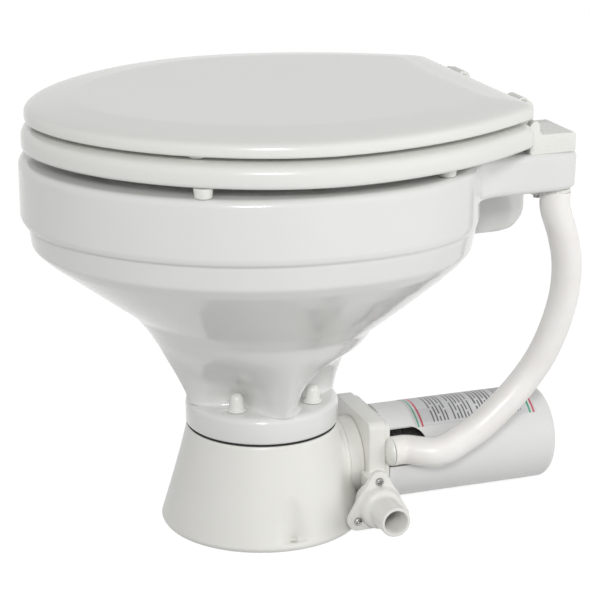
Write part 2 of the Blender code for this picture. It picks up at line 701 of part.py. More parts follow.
def make_deck():
    corner = DECK_CORNER
    outline = []
    for turn, across in ((0, DECK_HALF_WIDTH - corner), (1, corner - DECK_HALF_WIDTH)):
        for step in range(6):
            angle = math.pi / 2 * (turn + step / 5)
            outline.append((across + corner * math.cos(angle),
                            DECK_REAR_Y - corner + corner * math.sin(angle)))
    steps = 10
    for step in range(steps + 1):
        across = DECK_HALF_WIDTH * (2.0 * step / steps - 1.0)
        outline.append((across, deck_front(across)))
    top = DECK_TOP_Z
    mesh = slab(outline, DECK_UNDER_Z, top, bevel=DECK_EDGE, segments=2)
    front = deck_front(DECK_HALF_WIDTH)
    for vertex in mesh.vertices:
        if vertex.co.z < (top + DECK_UNDER_Z) / 2:
            vertex.co.z -= DECK_SLOPE * (DECK_REAR_Y - vertex.co.y) / (DECK_REAR_Y - front)
    return mesh


def make_bowl():
    """Ceramic bowl in one piece with its foot, its rim, the deck and the water inlet boss."""
    bowl = add_piece("bowl", loft(outside_rings() + inside_rings()), "ceramic")
    join(bowl, add_cutter("deck_tool", make_deck()))
    boss_front = BOWL_CENTRE_Y + BOWL_REAR_LENGTH - 1.3 * BOWL_WALL
    boss = box((-BOSS_HALF_WIDTH, boss_front, DECK_UNDER_Z - BOSS_DROP),
               (BOSS_HALF_WIDTH, BOSS_REAR_Y, DECK_UNDER_Z + BOSS_EDGE), BOSS_EDGE, 2)
    join(bowl, add_cutter("boss_tool", boss))
    for angle in bolt_angles():
        hole = disc(FOOT_BOLT_RADIUS + GAP, FOOT_Z - OVERRUN, FOOT_TOP_Z + OVERRUN, TO_Z, 10)
        hole.transform(Matrix.Translation(on_bolt_circle(angle)))
        cut(bowl, add_cutter("foot_hole", hole))
    for side in (-1, 1):
        hole = disc(HINGE_BOLT_RADIUS + GAP, DECK_UNDER_Z - DECK_THICKNESS, BOWL_RIM_Z + OVERRUN, TO_Z, 16)
        hole.transform(Matrix.Translation((side * HINGE_BOLT_X, HINGE_BOLT_Y, 0.0)))
        cut(bowl, add_cutter("hinge_hole", hole))
    socket = disc(SPUD_BORE_RADIUS + 2 * OVERRUN / 3 + GAP, spud_seat() - DECK_SLOPE,
                  spud_seat() + SPUD_LENGTH / 2 + GAP, TO_Z, 20)
    socket.transform(Matrix.Translation((SPUD_X, SPUD_Y, 0.0)))
    cut(bowl, add_cutter("spud_hole", socket))


def spud_seat():
    """Height of the deck's underside at the lowest edge of the hose spud's flange."""
    front = deck_front(DECK_HALF_WIDTH)
    lowest = SPUD_Y - SPUD_FLANGE_RADIUS
    return DECK_UNDER_Z - DECK_SLOPE * (DECK_REAR_Y - lowest) / (DECK_REAR_Y - front)


def make_spud():
    """Hose spud screwed up into the deck: shank, flange and barb, with its bore."""
    flange_top = spud_seat() - GAP
    shank = SPUD_BORE_RADIUS + 2 * OVERRUN / 3
    top = flange_top + SPUD_LENGTH / 2
    low = flange_top - SPUD_FLANGE - SPUD_LENGTH
    mesh = turned([(shank, top), (shank, flange_top), (SPUD_FLANGE_RADIUS, flange_top),
                   (SPUD_FLANGE_RADIUS, flange_top - SPUD_FLANGE),
                   (BARB_RADIUS, flange_top - SPUD_FLANGE), (BARB_RADIUS, low + OVERRUN),
                   (BARB_RADIUS - OVERRUN / 3, low), (SPUD_BORE_RADIUS, low), (SPUD_BORE_RADIUS, top)],
                  TO_Z, 16, closed=True)
    spud = add_piece("bowl_spigot", mesh, "plastic")
    spud.location = (SPUD_X, SPUD_Y, 0.0)


# Pump train
def through_bolt_places():
    """Places of the long bolts round the pump's axis, as shifts across it."""
    places = []
    for across, up in on_circle(THROUGH_BOLT_CIRCLE, 4, math.pi / 4):
        places.append((across, 0.0, up))
    return places


def add_bolt_holes(piece, low, high):
    for place in through_bolt_places():
        hole = disc(THROUGH_BOLT_RADIUS + GAP, low - OVERRUN, high + OVERRUN, PUMP_FRAME, 8)
        hole.transform(Matrix.Translation(place))
        cut(piece, add_cutter(f"{piece.name}_bolt_hole", hole))


def plate_outline(shrink=0.0):
    """Rounded rectangle of the pump plates, seen along the pump's axis."""
    half = PLATE_HALF_WIDTH - shrink
    return rounded_rectangle(-half, half, PLATE_BOTTOM_Z + shrink, PLATE_TOP_Z - shrink, PLATE_CORNER)


def upright_slab(outline, low, high, bevel=0.0):
    """A slab whose outline is given as (x, z), standing between two places along Y."""
    frame = Matrix(((1, 0, 0, 0), (0, 0, -1, 0), (0, 1, 0, 0), (0, 0, 0, 1)))
    return slab(outline, -high, -low, frame, bevel)


def side_slab(outline, low, high, bevel=0.0):
    """A slab whose outline is given as (y, z), between two places along X."""
    frame = Matrix(((0, 0, 1, 0), (1, 0, 0, 0), (0, 1, 0, 0), (0, 0, 0, 1)))
    return slab(outline, low, high, frame, bevel)


def side_disc(radius, low, high, along, up, turns=20):
    """A cylinder along X between two places."""
    mesh = disc(radius, low, high, TO_X, turns)
    mesh.transform(Matrix.Translation((0.0, along, up)))
    return mesh


def make_macerator():
    rear = HOUSING_Y + HOUSING_LENGTH
    groove_low = O_RING_RADIUS - O_RING_SECTION - GAP
    groove_high = O_RING_RADIUS + O_RING_SECTION + GAP
    groove_floor = HOUSING_Y + 2 * O_RING_SECTION + GAP
    edge = OVERRUN / 2
    shell = turned([(HOUSING_RADIUS, rear), (HOUSING_RADIUS, HOUSING_Y + edge),
                    (HOUSING_RADIUS - edge, HOUSING_Y), (groove_high, HOUSING_Y),
                    (groove_high, groove_floor), (groove_low, groove_floor), (groove_low, HOUSING_Y),
                    (CHAMBER_RADIUS, HOUSING_Y), (CHAMBER_RADIUS, rear)], PUMP_FRAME, 26, closed=True)
    housing = add_piece("macerator_housing", shell, "enamel")
    add_bolt_holes(housing, HOUSING_Y, rear)
    section = [(O_RING_RADIUS + across, HOUSING_Y + O_RING_SECTION + up)
               for across, up in reversed(on_circle(O_RING_SECTION, 4))]
    add_piece("spigot_o_ring", turned(section, PUMP_FRAME, 26, closed=True), "rubber")

    tip = CHAMBER_RADIUS - RUNNING_GAP
    hub = SHAFT_RADIUS + GAP
    blade_y = HOUSING_Y + RUNNING_GAP
    blade = add_piece("macerator_blade", ring(hub, 2 * SHAFT_RADIUS, blade_y, blade_y + BLADE_THICKNESS,
                                              PUMP_FRAME, 16), "steel", "pump_axis")
    wing = SHAFT_RADIUS * 1.1
    arms = [(tip * math.cos(0.16), -wing), (tip * math.cos(0.16), 0.0), (tip * 0.5, wing),
            (-tip * math.cos(0.16), wing), (-tip * math.cos(0.16), 0.0), (-tip * 0.5, -wing)]
    arm = upright_slab(arms, blade_y, blade_y + BLADE_THICKNESS)
    arm.transform(Matrix.Translation((0.0, 0.0, PUMP_Z)))
    join(blade, add_cutter("blade_arm", arm))
    cut(blade, add_cutter("blade_bore", disc(hub, blade_y - OVERRUN, blade_y + 2 * OVERRUN, PUMP_FRAME, 16)))


def make_pump_body():
    """Plate shaped body behind the macerator, with the discharge chamber and the neck to the port."""
    recess = PLATE_Y + CHOKE_THICKNESS + 2 * GAP
    web = PLATE_REAR_Y - PLATE_WEB
    body = add_piece("pump_body", upright_slab(plate_outline(), PLATE_Y, PLATE_REAR_Y, PLATE_EDGE), "enamel")
    neck = box((PLATE_HALF_WIDTH - PLATE_CORNER + GAP, PORT_Y - 2 * GAP - RUNNING_GAP, PORT_Z - PORT_COLLAR_RADIUS),
               (PORT_NECK_X + PORT_FLANGE, PLATE_REAR_Y - RUNNING_GAP, PORT_Z + PORT_COLLAR_RADIUS), RUNNING_GAP)
    join(body, add_cutter("neck_tool", neck))
    join(body, add_cutter("neck_boss", side_disc(PORT_NECK_RADIUS, PORT_NECK_X, PORT_FLANGE_X - 2 * GAP,
                                                 PORT_Y, PORT_Z)))
    pad_face = PORT_FLANGE_X - GAP
    join(body, add_cutter("port_pad", side_slab(port_outline(0.6 * PORT_LOBE_RADIUS), pad_face - PORT_PAD,
                                                pad_face)))
    chamber = [(0.0, web), (CHAMBER_RADIUS + RUNNING_GAP, web), (CHAMBER_RADIUS + RUNNING_GAP, recess),
               (O_RING_RADIUS, recess), (O_RING_RADIUS, PLATE_Y - OVERRUN), (0.0, PLATE_Y - OVERRUN)]
    cut(body, add_cutter("discharge_chamber", turned(chamber, PUMP_FRAME, 24)))
    cut(body, add_cutter("seal_bore", disc(SEAL_RADIUS + GAP, web - OVERRUN, PLATE_REAR_Y + OVERRUN,
                                           PUMP_FRAME, 14)))
    passage_y = (recess + web) / 2
    cut(body, add_cutter("discharge_passage", side_disc(
        NECK_PASSAGE_RADIUS - GAP, CHAMBER_RADIUS / 2, PORT_NECK_X + PORT_FLANGE / 2, passage_y, PORT_Z, 16)))
    cut(body, add_cutter("port_passage", side_disc(
        PORT_BORE_RADIUS, PORT_NECK_X + RUNNING_GAP, PORT_FLANGE_X + OVERRUN, PORT_Y, PORT_Z)))
    for along, up in port_screw_places():
        cut(body, add_cutter("port_screw_hole", side_disc(
            PORT_SCREW_RADIUS + GAP, pad_face - PORT_PAD - OVERRUN, PORT_FLANGE_X + OVERRUN, along, up, 8)))
    add_bolt_holes(body, PLATE_Y, PLATE_REAR_Y)


def port_outline(lobe):
    """Three cornered outline round the port's screws, as (y, z)."""
    outline = []
    for index, (along, up) in enumerate(on_circle(PORT_SCREW_CIRCLE, 3, math.pi / 2)):
        middle = math.pi / 2 + math.tau * index / 3
        for step in range(7):
            angle = middle + math.tau / 6 * (step / 3 - 1.0)
            outline.append((PORT_Y + along + lobe * math.cos(angle), PORT_Z + up + lobe * math.sin(angle)))
    return outline


def port_screw_places():
    """The three flange screws, one on top, as (y, z)."""
    return [(PORT_Y + along, PORT_Z + up) for along, up in on_circle(PORT_SCREW_CIRCLE, 3, math.pi / 2)]


def make_choke_plate():
    low = PLATE_Y + GAP
    plate = add_piece("choke_plate", ring(2 * SHAFT_RADIUS, O_RING_RADIUS - GAP, low, low + CHOKE_THICKNESS,
                                          PUMP_FRAME, 24), "steel")
    slot_radius = (CHAMBER_RADIUS + 2 * SHAFT_RADIUS) / 2
    for across, up in on_circle(slot_radius, CHOKE_SLOTS, math.pi / CHOKE_SLOTS):
        hole = disc(slot_radius * 0.22, low - OVERRUN, low + OVERRUN, PUMP_FRAME, 6)
        hole.transform(Matrix.Translation((across, 0.0, up)))
        cut(plate, add_cutter("choke_hole", hole))


def vaned_wheel(name, finish, hub, tip, low, high, vanes, thickness, backing):
    """A wheel with straight vanes on a hub, with an optional backing disc at its rear."""
    hollow = SHAFT_RADIUS + GAP
    wheel = add_piece(name, ring(hollow, hub, low, high, PUMP_FRAME, 16), finish, "pump_axis")
    if backing > 0:
        join(wheel, add_cutter(f"{name}_disc", ring(hollow, tip, high - backing, high, PUMP_FRAME, 28)))
    for index in range(vanes):
        vane = box((hub - thickness / 2, low, -thickness / 2), (tip, high - backing / 2, thickness / 2))
        vane.transform(Matrix.Rotation(math.tau * index / vanes, 4, "Y"))
        vane.transform(Matrix.Translation((0.0, 0.0, PUMP_Z)))
        join(wheel, add_cutter(f"{name}_vane", vane))


def make_discharge_impeller():
    low = PLATE_Y + CHOKE_THICKNESS + 2 * GAP + RUNNING_GAP
    high = PLATE_REAR_Y - PLATE_WEB - RUNNING_GAP
    vaned_wheel("discharge_impeller", "plastic", 2 * SHAFT_RADIUS, CHAMBER_RADIUS - RUNNING_GAP, low, high,
                DISCHARGE_VANES, VANE_THICKNESS, VANE_THICKNESS)


def make_port():
    """Discharge port: a three cornered flange, a stepped collar and the hose tail, bored through."""
    flange = side_slab(port_outline(PORT_LOBE_RADIUS), PORT_FLANGE_X, PORT_FLANGE_X + PORT_FLANGE, PORT_EDGE)
    port = add_piece("discharge_port", flange, "enamel")
    face = PORT_FLANGE_X + PORT_FLANGE
    shoulder = face + PORT_COLLAR_LENGTH
    collar = turned([(0.0, PORT_END_X), (PORT_TUBE_RADIUS - PORT_SCREW_RADIUS, PORT_END_X),
                     (PORT_TUBE_RADIUS, PORT_END_X - PORT_SCREW_RADIUS),
                     (PORT_TUBE_RADIUS, shoulder + PORT_FLANGE / 2),
                     (PORT_COLLAR_RADIUS - PORT_FLANGE / 3, shoulder),
                     (PORT_COLLAR_RADIUS, face + PORT_FLANGE / 3), (PORT_COLLAR_RADIUS, face - PORT_FLANGE / 2),
                     (0.0, face - PORT_FLANGE / 2)], TO_X, 28)
    collar.transform(Matrix.Translation((0.0, PORT_Y, PORT_Z)))
    join(port, add_cutter("collar_tool", collar))
    cut(port, add_cutter("port_bore", side_disc(PORT_BORE_RADIUS, face - PORT_FLANGE - OVERRUN,
                                                PORT_END_X + OVERRUN, PORT_Y, PORT_Z)))
    for along, up in port_screw_places():
        cut(port, add_cutter("flange_hole", side_disc(PORT_SCREW_RADIUS + GAP, PORT_FLANGE_X - OVERRUN,
                                                      face + OVERRUN, along, up, 8)))
    screw = turned([(0.0, face + PORT_SCREW_HEAD), (PORT_SCREW_HEAD_RADIUS * 0.7, face + PORT_SCREW_HEAD),
                    (PORT_SCREW_HEAD_RADIUS, face + PORT_SCREW_HEAD / 2),
                    (PORT_SCREW_HEAD_RADIUS, face + GAP), (PORT_SCREW_RADIUS, face + GAP),
                    (PORT_SCREW_RADIUS, face + GAP - PORT_SCREW_LENGTH),
                    (0.0, face + GAP - PORT_SCREW_LENGTH)], TO_X, 12)
    for number, (along, up) in enumerate(port_screw_places(), start=1):
        piece = add_piece(f"port_screw_{number}", screw.copy(), "steel")
        piece.location = (0.0, along, up)


def make_joker_valve():
    """Duckbill valve inside the neck: a flanged sleeve that closes to a slit."""
    outer = PORT_BORE_RADIUS - GAP
    inner = outer - VALVE_LIP
    low = PORT_NECK_X + RUNNING_GAP + GAP
    high = PORT_FLANGE_X + PORT_FLANGE
    middle = low + VALVE_LIP * 3
    valve = turned([(VALVE_LIP * 1.6, high), (VALVE_LIP * 2, high), (outer - VALVE_LIP / 2, middle),
                    (outer, middle), (outer, low), (inner, low), (inner - VALVE_LIP / 2, middle),
                    (VALVE_LIP, high)], TO_X, 14, closed=True)
    valve.transform(Matrix.Translation((0.0, PORT_Y, PORT_Z)))
    add_piece("joker_valve", valve, "rubber")


def make_rinse_pump():
    """Rinse pump body with its two hose barbs, its flexible impeller and its rear cover."""
    front = RINSE_Y
    rear = RINSE_Y + RINSE_BODY_LENGTH
    shelf = front + RINSE_PLATE
    body = add_piece("rinse_pump_body", upright_slab(plate_outline(2 * RUNNING_GAP), front, shelf,
                                                     RUNNING_GAP / 2), "plastic")
    join(body, add_cutter("rinse_barrel", disc(RINSE_BODY_RADIUS, front + OVERRUN / 2, rear, PUMP_FRAME, 26)))
    for side in (-1, 1):
        barb = turned([(0.0, shelf + BARB_LENGTH), (BARB_RADIUS - OVERRUN / 3, shelf + BARB_LENGTH),
                       (BARB_RADIUS, shelf + BARB_LENGTH - OVERRUN), (BARB_RADIUS, shelf),
                       (BARB_BOSS_RADIUS, shelf), (BARB_BOSS_RADIUS, front), (0.0, front)], TO_Y, 20)
        barb.transform(Matrix.Translation((side * BARB_X, 0.0, BARB_Z)))
        join(body, add_cutter("barb_tool", barb))
        bore = disc(BARB_BORE_RADIUS, front + OVERRUN / 2, shelf + BARB_LENGTH + OVERRUN, TO_Y, 16)
        bore.transform(Matrix.Translation((side * BARB_X, 0.0, BARB_Z)))
        cut(body, add_cutter("barb_bore", bore))
    chamber = FLEX_RADIUS + RUNNING_GAP
    cut(body, add_cutter("rinse_chamber", disc(chamber, shelf - RUNNING_GAP, rear + OVERRUN, PUMP_FRAME, 24)))
    cut(body, add_cutter("rinse_shaft_hole", disc(SHAFT_RADIUS + RUNNING_GAP, front - OVERRUN, rear,
                                                  PUMP_FRAME, 16)))
    add_bolt_holes(body, front, shelf)
    vaned_wheel("flexible_impeller", "rubber", FLEX_HUB_RADIUS, FLEX_RADIUS, shelf - RUNNING_GAP + GAP,
                rear - GAP, FLEX_VANES, VANE_THICKNESS, 0.0)
    add_piece("rinse_cover_plate", ring(SHAFT_RADIUS + GAP, RINSE_BODY_RADIUS, RINSE_COVER_Y,
                                        RINSE_COVER_Y + RINSE_COVER, PUMP_FRAME, 26), "steel")


def make_through_bolts():
    head = RINSE_Y + RINSE_PLATE + GAP
    tip = SPIGOT_FACE_Y - THROUGH_BOLT_GRIP
    mesh = turned([(0.0, head + THROUGH_BOLT_HEAD), (THROUGH_BOLT_HEAD_RADIUS, head + THROUGH_BOLT_HEAD),
                   (THROUGH_BOLT_HEAD_RADIUS, head), (THROUGH_BOLT_RADIUS, head),
                   (THROUGH_BOLT_RADIUS, tip), (0.0, tip)], PUMP_FRAME, 8)
    for number, place in enumerate(through_bolt_places(), start=1):
        piece = add_piece(f"through_bolt_{number}", mesh.copy(), "steel")
        piece.location = place


# Motor
def make_shaft():
    """Shaft from the macerator blade to the rear bearing, and the seal between the two pumps."""
    front = HOUSING_Y + GAP
    rear = REAR_BEARING_Y + BEARING_WIDTH - GAP
    add_piece("motor_shaft", disc(SHAFT_RADIUS, front, rear, PUMP_FRAME, 16), "steel", "pump_axis")
    add_piece("shaft_seal", ring(SHAFT_RADIUS + GAP, SEAL_RADIUS, PLATE_REAR_Y - PLATE_WEB + GAP,
                                 PLATE_REAR_Y, PUMP_FRAME, 14), "rubber")


def make_motor():
    bore = SHAFT_RADIUS + GAP
    bell_end = BELL_Y + END_BELL_LENGTH
    pocket = BEARING_RADIUS + GAP
    seat_y = bell_end - BEARING_WIDTH - GAP
    bell = turned([(MOTOR_CASE_RADIUS - RUNNING_GAP, bell_end), (MOTOR_CASE_RADIUS - OVERRUN, BELL_Y),
                   (bore, BELL_Y), (bore, seat_y), (pocket, seat_y), (pocket, bell_end)],
                  PUMP_FRAME, 26, closed=True)
    add_piece("motor_end_bell", bell, "steel")
    add_piece("front_bearing", ring(bore, BEARING_RADIUS, seat_y + GAP, bell_end, PUMP_FRAME, 14), "steel")

    inner = MOTOR_CASE_RADIUS - MOTOR_CASE_WALL
    inside_end = CASE_END_Y - MOTOR_CASE_WALL
    hub_wall = pocket + MOTOR_CASE_WALL
    case = turned([(0.0, CASE_END_Y), (MOTOR_CASE_RADIUS - OVERRUN, CASE_END_Y),
                   (MOTOR_CASE_RADIUS, CASE_END_Y - OVERRUN), (MOTOR_CASE_RADIUS, CASE_Y),
                   (inner, CASE_Y), (inner, inside_end), (hub_wall, inside_end),
                   (hub_wall, inside_end - BEARING_WIDTH), (pocket, inside_end - BEARING_WIDTH),
                   (pocket, inside_end), (0.0, inside_end)], PUMP_FRAME, 26)
    add_piece("motor_case", case, "steel")
    add_piece("rear_bearing", ring(bore, BEARING_RADIUS, inside_end - GAP - BEARING_WIDTH,
                                   inside_end - GAP, PUMP_FRAME, 14), "steel")
    add_piece("armature", ring(bore, ARMATURE_RADIUS, ARMATURE_Y, ARMATURE_Y + ARMATURE_LENGTH,
                               PUMP_FRAME, 24), "copper", "pump_axis")
    add_piece("commutator", ring(bore, COMMUTATOR_RADIUS, COMMUTATOR_Y, COMMUTATOR_Y + COMMUTATOR_LENGTH,
                                 PUMP_FRAME, 14), "copper", "pump_axis")


def make_motor_cover():
    """Round shroud over the rinse pump and the motor, notched on both sides for the hose barbs."""
    inner = COVER_RADIUS - COVER_THICKNESS
    turn = COVER_END_ROUND
    outside = []
    inside = []
    for step in range(4):
        angle = math.pi / 2 * (1.0 - step / 3)
        outside.append((COVER_RADIUS - turn + turn * math.cos(angle),
                        COVER_END_Y - turn + turn * math.sin(angle)))
        small = turn - COVER_THICKNESS
        inside.append((COVER_RADIUS - turn + small * math.cos(angle),
                       COVER_END_Y - turn + small * math.sin(angle)))
    profile = [(0.0, COVER_END_Y), *outside, (COVER_RADIUS, COVER_Y), (inner, COVER_Y),
               *reversed(inside), (0.0, COVER_END_Y - COVER_THICKNESS)]
    cover = add_piece("motor_cover", turned(profile, PUMP_FRAME, 36), "painted")
    for side in (-1, 1):
        across = sorted((side * RINSE_BODY_RADIUS, side * (COVER_RADIUS + OVERRUN)))
        end = COVER_Y + NOTCH_LENGTH - NOTCH_HALF_WIDTH
        outline = [(COVER_Y - OVERRUN, BARB_Z + NOTCH_HALF_WIDTH), (COVER_Y - OVERRUN, BARB_Z - NOTCH_HALF_WIDTH)]
        for step in range(9):
            angle = math.pi * (step / 8 - 0.5)
            outline.append((end + NOTCH_HALF_WIDTH * math.cos(angle),
                            BARB_Z + NOTCH_HALF_WIDTH * math.sin(angle)))
        cut(cover, add_cutter("notch", side_slab(outline, *across)))


# Seat and lid
def taper(share, half_width, rear_half_width):
    """Half width of the lid behind its widest place, at a share of the way to its rear edge."""
    return half_width - (half_width - rear_half_width) * share ** LID_TAPER_POWER


def lid_outline(grow=0.0, rear_inset=0.0):
    """Outline of the lid, or of the slightly larger seat, anticlockwise from its left side."""
    half_width = LID_HALF_WIDTH + grow
    front = LID_FRONT_LENGTH + grow
    rear_half = LID_REAR_HALF_WIDTH + grow
    length = LID_REAR_LENGTH - rear_inset
    points = []
    for step in range(23):
        angle = math.pi * (1.0 + step / 22)
        across, along = math.cos(angle), math.sin(angle)
        points.append((math.copysign(abs(across) ** (2 / LID_FRONT_POWER), across) * half_width,
                       LID_CENTRE_Y - abs(along) ** (2 / LID_FRONT_POWER) * front))
    share = 1.0
    for _ in range(20):
        slope = (half_width - rear_half) * LID_TAPER_POWER * share ** (LID_TAPER_POWER - 1) / length
        lean = math.atan(slope)
        share = (length - LID_CORNER * (1.0 - math.sin(lean))) / length
    side = []
    for step in range(1, 7):
        part_way = share * step / 6
        side.append((taper(part_way, half_width, rear_half), LID_CENTRE_Y + length * part_way))
    centre_x = side[-1][0] - LID_CORNER * math.cos(lean)
    centre_y = LID_CENTRE_Y + length - LID_CORNER
    for step in range(1, 4):
        angle = lean + (math.pi / 2 - lean) * step / 3
        side.append((centre_x + LID_CORNER * math.cos(angle), centre_y + LID_CORNER * math.sin(angle)))
    points += side
    points += [(-across, along) for across, along in reversed(side)]
    return points


def drawn_in(outline, distance, height):
    """Ring with each point of an outline moved towards the lid's centre."""
    ring_points = []
    for across, along in outline:
        reach = math.hypot(across, along - LID_CENTRE_Y)
        share = 1.0 - distance / reach
        ring_points.append((across * share, LID_CENTRE_Y + (along - LID_CENTRE_Y) * share, height))
    return ring_points


def make_lid():
    """Thick lid with a broad rounded margin above and a flat underside."""
    outline = lid_outline()
    edge = LID_EDGE
    margin = LID_TOP_Z - LID_MARGIN_DROP
    rings = [drawn_in(outline, edge, LID_Z), drawn_in(outline, 0.0, LID_Z + edge),
             drawn_in(outline, 0.0, margin)]
    for step in range(1, 5):
        angle = math.pi / 2 * step / 4
        rings.append(drawn_in(outline, LID_MARGIN * (1.0 - math.cos(angle)) ** 1.2,
                              margin + LID_MARGIN_DROP * math.sin(angle)))
    add_piece("lid", loft(rings, cap=True), "enamel", "lid_axis")


def hole_outline(outline):
    """The seat's opening, with one point for each point of its outside."""
    points = []
    for across, along in outline:
        angle = math.atan2(along - LID_CENTRE_Y, across)
        length = SEAT_HOLE_REAR if angle > 0 else SEAT_HOLE_FRONT
        radius = 1.0 / math.hypot(math.cos(angle) / SEAT_HOLE_HALF_WIDTH, math.sin(angle) / length)
        points.append((radius * math.cos(angle), LID_CENTRE_Y + radius * math.sin(angle)))
    return points


def make_seat():
    """Seat ring with a crowned top, drawn as one loft round its section."""
    outer = lid_outline(SEAT_OVERHANG, SEAT_REAR_INSET)
    inner = hole_outline(outer)
    edge = SEAT_EDGE
    shoulder = SEAT_TOP_Z - SEAT_CROWN
    flat = 2.4 * edge
    rings = [drawn_in(outer, 0.4 * edge, SEAT_Z), drawn_in(outer, 0.0, SEAT_Z + 0.4 * edge),
             drawn_in(outer, 0.0, shoulder - edge), drawn_in(outer, 0.3 * edge, shoulder - 0.3 * edge),
             drawn_in(outer, edge, shoulder), drawn_in(outer, flat, SEAT_TOP_Z),
             drawn_in(inner, -flat, SEAT_TOP_Z), drawn_in(inner, -edge, shoulder),
             drawn_in(inner, -0.3 * edge, shoulder - 0.3 * edge), drawn_in(inner, 0.0, shoulder - edge),
             drawn_in(inner, 0.0, SEAT_Z + 0.4 * edge), drawn_in(inner, -0.4 * edge, SEAT_Z)]
    add_piece("seat", loft(rings), "enamel", "seat_axis")


def make_bumpers():
    groups = (("seat_bumper", SEAT_BUMPER_SHARES, BOWL_RIM_Z, SEAT_Z, "seat_axis"),
              ("lid_bumper", LID_BUMPER_SHARES, SEAT_TOP_Z, LID_Z, "lid_axis"))
    for name, shares, under, over, anchor in groups:
        pad = disc(BUMPER_RADIUS, under + GAP, over - GAP, TO_Z, 12)
        number = 0
        for side in (-1, 1):
            for across_share, along_share in shares:
                number += 1
                mesh = pad.copy()
                mesh.transform(Matrix.Translation((side * across_share * LID_HALF_WIDTH,
                                                   LID_CENTRE_Y + along_share * LID_FRONT_LENGTH, 0.0)))
                add_piece(f"{name}_{number}", mesh, "plastic", anchor)


# Hinges
def deck_underside(along):
    front = deck_front(DECK_HALF_WIDTH)
    return DECK_UNDER_Z - DECK_SLOPE * (DECK_REAR_Y - along) / (DECK_REAR_Y - front)


def across_box(side, inner, outer, low, high, bevel=0.0):
    """A box on the left or right, given by its inner and outer x and its lowest and highest (y, z)."""
    left, right = sorted((side * inner, side * outer))
    return box((left, low[0], low[1]), (right, high[0], high[1]), bevel)


def axis_disc(side, radius, inner, outer, turns=16):
    left, right = sorted((side * inner, side * outer))
    return side_disc(radius, left, right, HINGE_Y, HINGE_Z, turns)


def make_hinge(side, word):
    """One hinge: deck plate with post and pin, its cover, a leaf each for seat and lid, bolt and nut."""
    plate_low = DECK_TOP_Z + GAP
    plate_top = plate_low + HINGE_PLATE_THICKNESS
    inside = COVER_WALL + GAP
    post_half = POST_THICKNESS / 2
    post_outer = POST_X + POST_WIDTH
    base = add_piece(f"hinge_base_{word}", across_box(side, COVER_INNER_X + inside, COVER_OUTER_X - inside,
                                                      (HINGE_Y - post_half, plate_low),
                                                      (COVER_REAR_Y - inside, plate_top)), "plastic")
    post = across_box(side, POST_X, post_outer, (HINGE_Y - post_half, plate_low + GAP),
                      (HINGE_Y + post_half, HINGE_Z))
    join(base, add_cutter("post_tool", post))
    join(base, add_cutter("post_top", axis_disc(side, post_half, POST_X, post_outer, 24)))
    seat_inner = POST_X - GAP - SEAT_KNUCKLE_WIDTH
    lid_outer = seat_inner - GAP
    lid_inner = lid_outer - LID_KNUCKLE_WIDTH
    join(base, add_cutter("pin_tool", axis_disc(side, PIN_RADIUS, lid_inner - GAP, POST_X + OVERRUN)))
    bolt_hole = disc(HINGE_BOLT_RADIUS + GAP, plate_low - OVERRUN, plate_top + OVERRUN, TO_Z, 16)
    bolt_hole.transform(Matrix.Translation((side * HINGE_BOLT_X, HINGE_BOLT_Y, 0.0)))
    cut(base, add_cutter("plate_hole", bolt_hole))

    make_hinge_cover(side, word, plate_low)
    leaves = (("seat_leaf", seat_inner, POST_X - GAP, "seat_axis"),
              ("lid_leaf", lid_inner, lid_outer, "lid_axis"))
    for name, inner, outer, anchor in leaves:
        leaf = add_piece(f"{name}_{word}", axis_disc(side, KNUCKLE_RADIUS, inner, outer, 20), "plastic",
                         anchor)
        tab = across_box(side, inner, outer, (HINGE_Y - LEAF_LENGTH, SEAT_TOP_Z + GAP),
                         (HINGE_Y - PIN_RADIUS / 2, LID_Z - GAP))
        join(leaf, add_cutter("leaf_tab", tab))
        cut(leaf, add_cutter("leaf_bore", axis_disc(side, PIN_RADIUS + GAP, inner - OVERRUN,
                                                    outer + OVERRUN)))
    make_hinge_fasteners(side, word, plate_top)


def make_hinge_cover(side, word, plate_low):
    """Cover over the plate and the bolt's head, hollow below, slotted for the post, with a side ear."""
    top = DECK_TOP_Z + COVER_HEIGHT
    shell = across_box(side, COVER_INNER_X, COVER_OUTER_X, (COVER_FRONT_Y, plate_low),
                       (COVER_REAR_Y, top), COVER_EDGE)
    cover = add_piece(f"hinge_cover_{word}", shell, "plastic")
    centre = COVER_FRONT_Y + EAR_LENGTH / 2
    shoulder = DECK_TOP_Z + EAR_HEIGHT - EAR_LENGTH / 2
    ear = [(COVER_FRONT_Y, top - COVER_WALL), (COVER_FRONT_Y + EAR_LENGTH, top - COVER_WALL)]
    for step in range(7):
        angle = math.pi * step / 6
        ear.append((centre + EAR_LENGTH / 2 * math.cos(angle), shoulder + EAR_LENGTH / 2 * math.sin(angle)))
    edges = sorted((side * COVER_OUTER_X, side * (COVER_OUTER_X - EAR_WIDTH)))
    join(cover, add_cutter("cover_ear", side_slab(ear, *edges)))
    hollow = across_box(side, COVER_INNER_X + COVER_WALL, COVER_OUTER_X - COVER_WALL,
                        (COVER_FRONT_Y + COVER_WALL, plate_low - OVERRUN),
                        (COVER_REAR_Y - COVER_WALL, top - COVER_WALL))
    cut(cover, add_cutter("cover_hollow", hollow))
    post_half = POST_THICKNESS / 2 + GAP
    slot = across_box(side, POST_X - GAP, POST_X + POST_WIDTH + GAP,
                      (HINGE_Y - post_half, top - COVER_WALL - OVERRUN),
                      (HINGE_Y + post_half, top + OVERRUN))
    cut(cover, add_cutter("cover_slot", slot))


